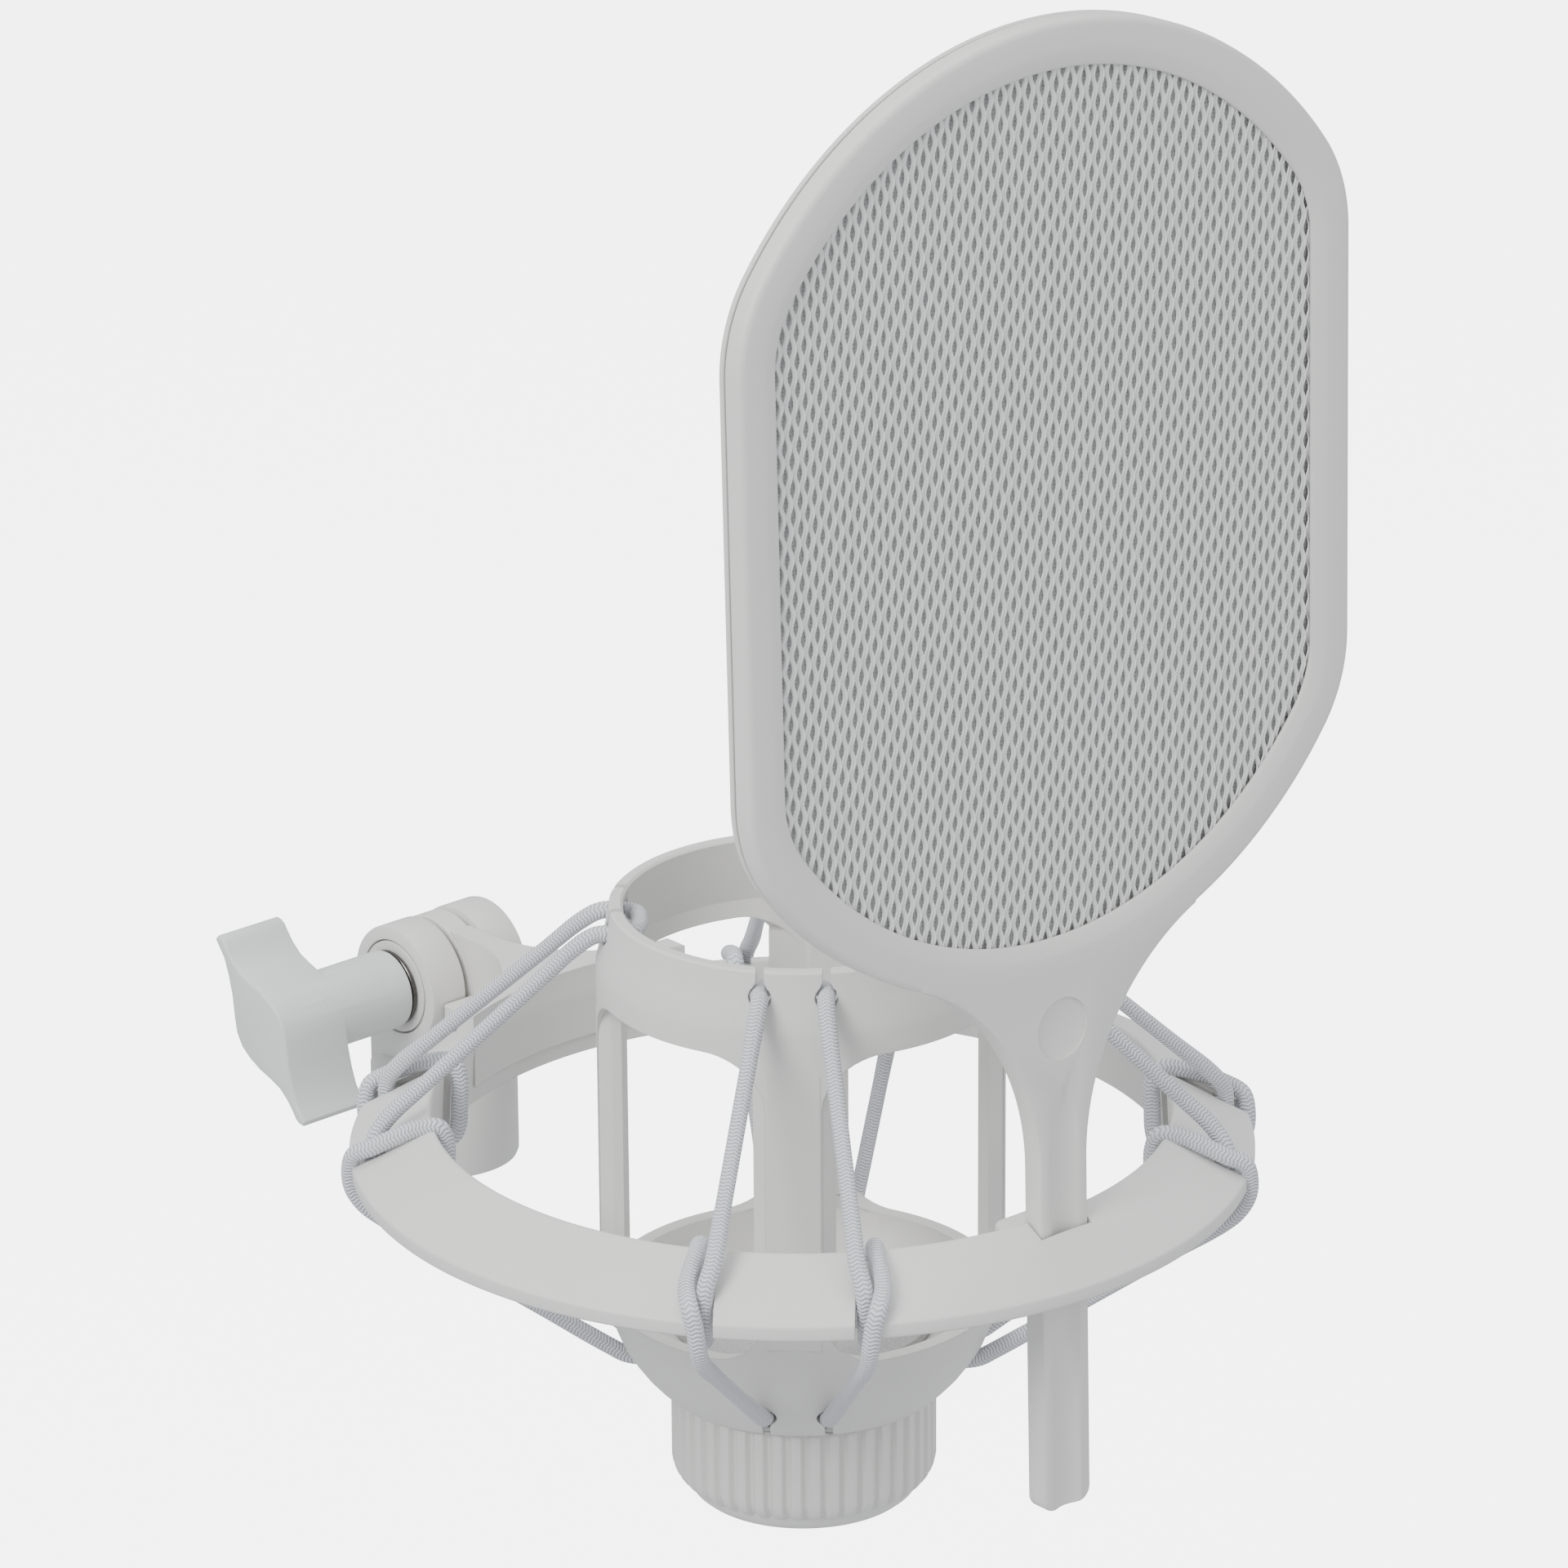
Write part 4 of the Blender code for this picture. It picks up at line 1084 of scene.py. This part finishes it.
@dataclass
class Swivel:
    """Stand socket with two ears, its cap, bush and washer."""

    socket_r: float = 12.0
    socket_top: float = -11.4
    socket_low: float = -31.4
    ear_r: float = 10.1
    ear_inner: float = 3.1
    ear_outer: float = 9.9
    foot_half: float = 6.6
    steps: int = 112
    cap: tuple[Point2, ...] = (
        (0, 10.4), (5.2, 10.4), (6.7, 10.25), (7.3, 9.9), (7.4, 9.5), (7.4, 8.3), (0, 8.3),
    )
    bush: tuple[Point2, ...] = (
        (7.6, -9.3), (7.6, -9.85), (7.45, -10.0), (3.6, -10.0), (3.45, -9.9), (3.4, -9.3),
    )
    washer: tuple[Point2, ...] = (
        (6.3, -10.4), (6.3, -10.8), (6.2, -10.9), (3.4, -10.9), (3.3, -10.8), (3.3, -10.3),
        (6.2, -10.3),
    )

    def disc(self, name: str, section: Sequence[Point2], steps: int = 96) -> bpy.types.Object:
        """A turned piece round the hinge's axis.

        Args:
            name: Name of the new object.
            section: Points of (radius, x).
            steps: Steps round the axis.

        Returns:
            The piece.
        """
        return Bench.placed(Bench.spun(name, section, steps), shift(*HINGE) @ ALONG_X)

    def tool(
        self, name: str, radius: float, low: float, high: float, steps: int = 64
    ) -> bpy.types.Object:
        """A cutter round the hinge's axis.

        Args:
            name: Name of the new object.
            radius: Its radius.
            low: Its lower end on x.
            high: Its upper end on x.
            steps: Steps round the axis.

        Returns:
            The cutter.
        """
        return self.disc(name, [(0.0, high), (radius, high), (radius, low), (0.0, low)], steps)

    def ear(self, x0: float, x1: float) -> list[bpy.types.Object]:
        """One ear of the clevis.

        Args:
            x0: Its lower face on x.
            x1: Its upper face on x.

        Returns:
            Its round and its foot on the socket.
        """
        e, half = self.ear_r, self.foot_half
        shape = [(0, x1), (e - 0.5, x1), (e - 0.12, x1 - 0.15), (e, x1 - 0.5)]
        shape += [(e, x0 + 0.5), (e - 0.12, x0 + 0.15), (e - 0.5, x0), (0, x0)]
        left, right, near, far = x0 + 0.03, x1 - 0.03, HINGE[1] - half, HINGE[1] + half
        plan = [(left, near), (right, near), (right, far), (left, far)]
        return [self.disc("ear", shape), Bench.slab("ear_foot", plan, self.socket_top - 3.0, -2.0)]

    def build(self, finishes: Finishes) -> None:
        """Models the socket and the small pieces on its ears."""
        r, low, top = self.socket_r, self.socket_low, self.socket_top
        section = [
            (0, top + 0.4), (5.0, top + 0.35), (8.5, top - 0.1), (10.6, top - 1.0), (11.6, top - 2.2),
            (r, top - 3.8), (r, low + 0.9), (r - 0.25, low + 0.3), (r - 0.8, low), (9.9, low),
            (9.5, low + 0.4), (9.5, low + 15.0), (0, low + 15.0),
        ]
        socket = Bench.spun("stand_socket", section, self.steps)
        Bench.placed(socket, shift(0.0, HINGE[1], 0.0))
        ears = self.ear(-self.ear_outer, -self.ear_inner) + self.ear(self.ear_inner, self.ear_outer)
        Bench.work(socket, Join.ADD, *ears)
        cuts = [
            self.tool("screw_bore", 3.3, -12.0, 12.0),
            self.tool("bush_seat", 7.9, -12.0, -self.ear_outer + 1.0),
            self.tool("nut_seat", 6.17, 5.0, 12.0, 6),
            self.tool("cap_seat", 7.7, 8.0, 12.0),
        ]
        Bench.work(socket, Join.CUT, *cuts)
        finished(socket, finishes.plastic, "white_plastic", Body.STAND, "stand_adapter")
        for name, section, finish, slot, body, node in (
            ("ear_cap", self.cap, finishes.plastic, "white_plastic", Body.STAND, "end_cap"),
            ("ear_bushing", self.bush, finishes.plastic, "white_plastic", Body.STAND, "ear_bush"),
            ("steel_washer", self.washer, finishes.dark_steel, "dark_steel", Body.KNOB, "knob_washer"),
        ):
            finished(self.disc(name, section), finish, slot, body, node)


@dataclass
class Knob:
    """Clamp knob: a round stem and a twisted bar grip."""

    stem_r: float = 6.5
    face: float = -11.2
    grip: float = -25.0
    end: float = -37.6
    bore_r: float = 3.3
    half: tuple[Point2, ...] = (
        (9.4, 13.2), (10.3, 13.35), (10.9, 12.9), (10.85, 12.4), (10.2, 11.6), (8.9, 9.9),
        (7.9, 7.2), (7.1, 4.0), (6.7, 0.5), (6.2, -2.2), (4.9, -4.3), (3.0, -5.7), (0.3, -7.0),
        (-2.4, -7.8), (-4.7, -8.7), (-6.5, -10.1), (-7.8, -11.6), (-8.6, -12.7),
    )

    def build(self, finish: bpy.types.Material) -> None:
        """Models the knob."""
        r, face, end = self.stem_r, self.face, self.grip - 3.0
        section = [(0, face), (r - 0.5, face), (r - 0.1, face - 0.15), (r, face - 0.5)]
        section += [(r, end), (0, end)]
        stem = Bench.placed(Bench.spun("knob_body", section, 112), ALONG_X)
        outline = list(self.half) + [(-y, -z) for y, z in self.half]
        grip = Bench.slab("knob_grip", outline, self.end, self.grip)
        Bench.soften(grip, 0.6, 50.0, 3)
        grip = Bench.placed(grip, turn(90.0) @ turn(90.0, "X"))
        core = [(0, 0), (self.bore_r, 0), (self.bore_r, -24.0), (0, -24.0)]
        bore = Bench.placed(Bench.spun("knob_bore", core, 48), ALONG_X)
        Bench.work(stem, Join.ADD, grip)
        Bench.work(stem, Join.CUT, bore)
        Bench.placed(stem, shift(*HINGE))
        finished(stem, finish, "knob_plastic", Body.KNOB, "knob", angle=36.0)


# ------------------------------------------------------------------ filter


@dataclass
class PopFilter:
    """Arched frame on a flat stem, with two expanded meshes and a screen between them."""

    mid: float = 116.3
    half_w: float = 58.6
    side_half: float = 31.3
    corner_r: float = 23.9
    arch_r: float = 67.2
    border: float = 7.2
    band: float = 4.5
    pocket: float = 2.6
    front_t: float = 3.3
    lip: float = 1.3
    rear_t: float = 1.2
    stem_half: float = 4.65
    stem_t: float = 3.9
    stem_low: float = -41.0
    fillet: float = 38.0
    flute_top: float = 27.0
    flute_mid: float = 3.95
    recess_at: float = 36.6
    column: float = 1.32
    wave: float = 4.08
    strand_w: float = 0.84
    strand_t: float = 0.56
    wave_steps: int = 7
    clearance: float = 3.1
    weave_lift: float = 0.14

    def outline(self, inset: float, corner_steps: int = 14, arch_steps: int = 26) -> list[Point2]:
        """Outline of the frame.

        Args:
            inset: Distance that it is moved inwards.
            corner_steps: Steps of each corner.
            arch_steps: Steps of each half arch.

        Returns:
            Its points, anticlockwise.
        """
        half_w, corner_r, arch_r = self.half_w - inset, self.corner_r - inset, self.arch_r - inset
        corner = (half_w - corner_r, self.side_half)
        drop = math.sqrt((arch_r - corner_r) ** 2 - corner[0] ** 2)
        arch_mid = corner[1] - drop
        join = math.degrees(math.atan2(drop, corner[0]))
        quarter = arc(corner, corner_r, 0.0, join, corner_steps)
        quarter += arc((0.0, arch_mid), arch_r, join, 90.0, arch_steps)[1:]
        upper = quarter + [(-x, y) for x, y in reversed(quarter[:-1])]
        lower = [(-x, -y) for x, y in upper]
        return [(x, y + self.mid) for x, y in upper + lower]

    def reach(self, x: float, inset: float) -> float:
        """Half height of the outline.

        Args:
            x: Distance from its middle.
            inset: Distance that it is moved inwards.

        Returns:
            Half of its height there.
        """
        half_w, corner_r, arch_r = self.half_w - inset, self.corner_r - inset, self.arch_r - inset
        corner_x = half_w - corner_r
        drop = math.sqrt((arch_r - corner_r) ** 2 - corner_x ** 2)
        join_x = arch_r * corner_x / (arch_r - corner_r)
        if abs(x) <= join_x:
            return self.side_half - drop + math.sqrt(arch_r ** 2 - x * x)
        return self.side_half + math.sqrt(max(corner_r ** 2 - (abs(x) - corner_x) ** 2, 0.0))

    def neck_outline(self) -> list[Point2]:
        """Stem and flared neck, with fillets that run into the lower arch."""
        corner_x = self.half_w - self.corner_r
        drop = math.sqrt((self.arch_r - self.corner_r) ** 2 - corner_x ** 2)
        arch_mid = self.mid - self.side_half + drop
        fillet_x = self.stem_half + self.fillet
        fillet_drop = math.sqrt((self.arch_r + self.fillet) ** 2 - fillet_x ** 2)
        tangent = math.degrees(math.atan2(fillet_drop, -fillet_x))
        side = arc((fillet_x, arch_mid - fillet_drop), self.fillet, 180.0, tangent, 28)
        foot = arc((self.stem_half - 2.2, self.stem_low + 2.2), 2.2, -90.0, 0.0, 6)
        half = [*foot, *side, (side[-1][0] - 1.0, side[-1][1] + 5.0)]
        return half + [(-x, y) for x, y in reversed(half)]

    def swept(self, name: str, section: Sequence[Point2]) -> bpy.types.Object:
        """A closed section taken round the frame.

        Args:
            name: Name of the new object.
            section: Points of (inset, z).

        Returns:
            The solid.
        """
        loops = [[(x, y, z) for x, y in self.outline(inset)] for inset, z in section]
        return Bench.raised(name, loops, closed=True)

    def front_frame(self) -> bpy.types.Object:
        """Front frame with its neck, flute and plain round recess."""
        back, edge = -self.front_t, self.border
        section = [
            (1.1, 0.0), (0.5, -0.12), (0.12, -0.5), (0.0, -1.1), (0.0, back + 0.2), (0.2, back),
            (self.pocket, back), (self.pocket, -self.lip), (edge, -self.lip), (edge, -1.0),
            (edge - 0.15, -0.8), (edge - 0.6, -0.62), (self.band + 0.5, -0.06), (self.band, 0.0),
        ]
        frame_body = self.swept("front_frame", section)
        neck = Bench.slab("neck", self.neck_outline(), -self.stem_t, -0.02)
        Bench.soften(neck, 0.45, 60.0)
        room = Bench.slab("neck_rear_room", self.outline(-0.4), -9.0, back + 0.05)
        lip_room = Bench.slab("neck_lip_room", self.outline(self.band - 0.3), -9.0, 3.0)
        top = self.flute_top
        taper = [
            (0, top + 2.5), (2.6, top + 1.4), (4.0, top - 0.4), (4.6, top - 3.0), (4.8, top - 7.0),
            (4.8, -50.0), (0, -50.0),
        ]
        flute = Bench.spun("flute", taper, 160)
        Bench.placed(flute, shift(0, 0, self.flute_mid) @ turn(-90.0, "X"))
        dish = [(0, 1), (4.85, 1), (4.8, -0.3), (4.55, -0.42), (0, -0.42)]
        recess = Bench.placed(Bench.spun("recess", dish, 72), shift(0, self.recess_at, 0))
        Bench.work(neck, Join.CUT, room, lip_room, flute, recess)
        return Bench.work(frame_body, Join.ADD, neck)

    def rear_frame(self) -> bpy.types.Object:
        """Thin rear frame behind the seam."""
        top = -self.front_t - 0.3
        low = top - self.rear_t
        edge = self.border
        section = [(0.15, top), (0.0, top - 0.15), (0.0, low + 0.4), (0.4, low), (edge - 0.3, low)]
        section += [(edge, low + 0.3), (edge, top)]
        return self.swept("rear_frame", section)

    def expanded_mesh(self, name: str, level: float, phase: float) -> bpy.types.Object:
        """Wavy upright strands that meet their neighbours by turns and leave slots.

        Args:
            name: Name of the new object.
            level: Height of the mesh's middle plane.
            phase: Shift of the pattern, in columns.

        Returns:
            The mesh, clipped a little inside the frame's pocket.
        """
        mesh = bmesh.new()
        swing = (self.column - self.strand_w) / 2 + 0.04
        inset = self.clearance
        columns = int((self.half_w - inset) / self.column)
        w, t = self.strand_w / 2, self.strand_t / 2
        ring = [(-w, t * 0.2), (-w * 0.8, t), (0.0, t * 0.25)]
        ring += [(w * 0.8, t), (w, t * 0.2), (0.0, -t * 0.5)]
        for k in range(-columns, columns + 1):
            centre = (k + phase) * self.column
            if abs(centre) + self.column > self.half_w - inset:
                continue
            sign = 1.0 if k % 2 else -1.0
            reach = self.reach(abs(centre) + self.column / 2, inset)
            steps = int(2 * reach / self.wave * self.wave_steps)
            previous = None
            for s in range(steps + 1):
                y = -reach + 2 * reach * s / steps
                angle = math.tau * y / self.wave
                x = centre + sign * swing * math.cos(angle)
                lift = -sign * self.weave_lift * math.sin(angle)
                points = [Vector((x + dx, self.mid + y, level + dz + lift)) * MM for dx, dz in ring]
                loop = [mesh.verts.new(p) for p in points]
                if previous is None:
                    mesh.faces.new(loop)
                else:
                    for a in range(6):
                        b = (a + 1) % 6
                        mesh.faces.new((previous[a], previous[b], loop[b], loop[a]))
                previous = loop
            mesh.faces.new(list(reversed(previous)))
        data = bpy.data.meshes.new(name)
        mesh.to_mesh(data)
        mesh.free()
        obj = bpy.data.objects.new(name, data)
        bpy.context.scene.collection.objects.link(obj)
        Bench.outwards(obj)
        return obj

    def build(self, place: Matrix, finishes: Finishes) -> None:
        """Models the filter and sets it on its leaning plane.

        Args:
            place: The leaning plane's place.
            finishes: Every finish.
        """
        front, rear = self.front_frame(), self.rear_frame()
        front_mesh = self.expanded_mesh("front_mesh", -1.72, 0.0)
        rear_mesh = self.expanded_mesh("rear_mesh", -3.0, 0.5)
        pieces = (
            (front, finishes.plastic, "white_plastic", "filter_front_frame"),
            (rear, finishes.plastic, "white_plastic", "filter_rear_frame"),
            (front_mesh, finishes.mesh, "filter_mesh", "filter_front_mesh"),
            (rear_mesh, finishes.mesh, "filter_mesh", "filter_rear_mesh"),
        )
        for obj, finish, slot, node in pieces:
            Bench.placed(obj, place)
            finished(obj, finish, slot, Body.FILTER, node, angle=40.0)


# ------------------------------------------------------------------ studio


@dataclass
class Studio:
    """Camera, pale floor and soft light."""

    eye: Point3 = (-0.72245, -0.90094, 0.50617)
    forward: Point3 = (0.61873, 0.69936, -0.35788)
    right: Point3 = (0.74896, -0.66262, 0.0)
    roll: float = -0.007
    focal: float = 175.94
    floor_z: float = -0.22

    def camera(self) -> None:
        """Adds the camera and makes it the scene's."""
        bpy.ops.object.camera_add()
        camera = bpy.context.object
        ahead, side = Vector(self.forward).normalized(), Vector(self.right).normalized()
        up = side.cross(ahead)
        x = side * math.cos(self.roll) + up * math.sin(self.roll)
        y = up * math.cos(self.roll) - side * math.sin(self.roll)
        basis = Matrix((x, y, -ahead)).transposed().to_4x4()
        camera.matrix_world = Matrix.Translation(self.eye) @ basis
        camera.data.lens = self.focal
        camera.data.sensor_width = 36.0
        camera.data.clip_start = 0.05
        bpy.context.scene.camera = camera

    def floor(self) -> None:
        """Adds a plain pale floor."""
        Bench.pick()
        bpy.ops.mesh.primitive_plane_add(size=14.0, location=(0.0, 0.0, self.floor_z))
        plane = bpy.context.object
        plane.name = "studio_floor"
        board = Board("floor_paint")
        tone = board.noise(3.0, 2.0)
        board.feed(base_color=board.tint(tone, (0.90, 0.90, 0.90), (0.93, 0.93, 0.93)))
        board.fix(roughness=0.9, emission_color=(1.0, 1.0, 1.0, 1.0), emission_strength=4.5)
        plane.data.materials.append(board.material)
        plane.visible_diffuse = False
        plane.visible_glossy = False

    def lamp(self, name: str, place: Point3, size: float, power: float) -> None:
        """Adds a square area light that faces the object.

        Args:
            name: Its name.
            place: Its place in metres.
            size: Its side in metres.
            power: Its power in watts.
        """
        bpy.ops.object.light_add(type="AREA", location=place)
        light = bpy.context.object
        light.name = name
        light.data.size = size
        light.data.energy = power
        aim = Vector((0.0, -0.07, 0.06)) - Vector(place)
        light.rotation_euler = aim.to_track_quat("-Z", "Y").to_euler()

    def build(self) -> None:
        """Sets the studio up."""
        self.camera()
        self.floor()
        self.lamp("key_light", (-1.4, -0.35, 1.15), 0.8, 27.0)
        self.lamp("top_light", (0.2, 0.1, 1.7), 1.0, 12.0)
        self.lamp("fill_light", (0.6, -1.5, 0.7), 1.2, 6.0)
        world = bpy.data.worlds.new("studio_world")
        world.use_nodes = True
        backdrop = world.node_tree.nodes["Background"]
        backdrop.inputs["Color"].default_value = (0.93, 0.95, 1.0, 1.0)
        backdrop.inputs["Strength"].default_value = 0.85
        bpy.context.scene.world = world


# ------------------------------------------------------------------ assembly


def main() -> None:
    """Builds every sub-assembly in order."""
    logging.basicConfig(level=logging.INFO, format="%(name)s %(message)s")
    Studio().build()
    finishes = Finishes()
    stations = Stations()
    front = turn(-1.5)
    filter_place = front @ shift(0.0, -60.75, 0.0) @ turn(90.0 - 1.4, "X")
    for name, angle in stations.angles.items():
        ElasticCord(f"cord_{name}", angle).build(finishes.cord)
    OuterRing().build(stations, filter_place, front, finishes.plastic)
    Cradle().build(stations, finishes.plastic)
    KnurledNut().build(finishes.plastic)
    Swivel().build(finishes)
    Knob().build(finishes.knob)
    PopFilter().build(filter_place, finishes)
    finishes.dress_hidden()


if __name__ == "__main__":
    main()
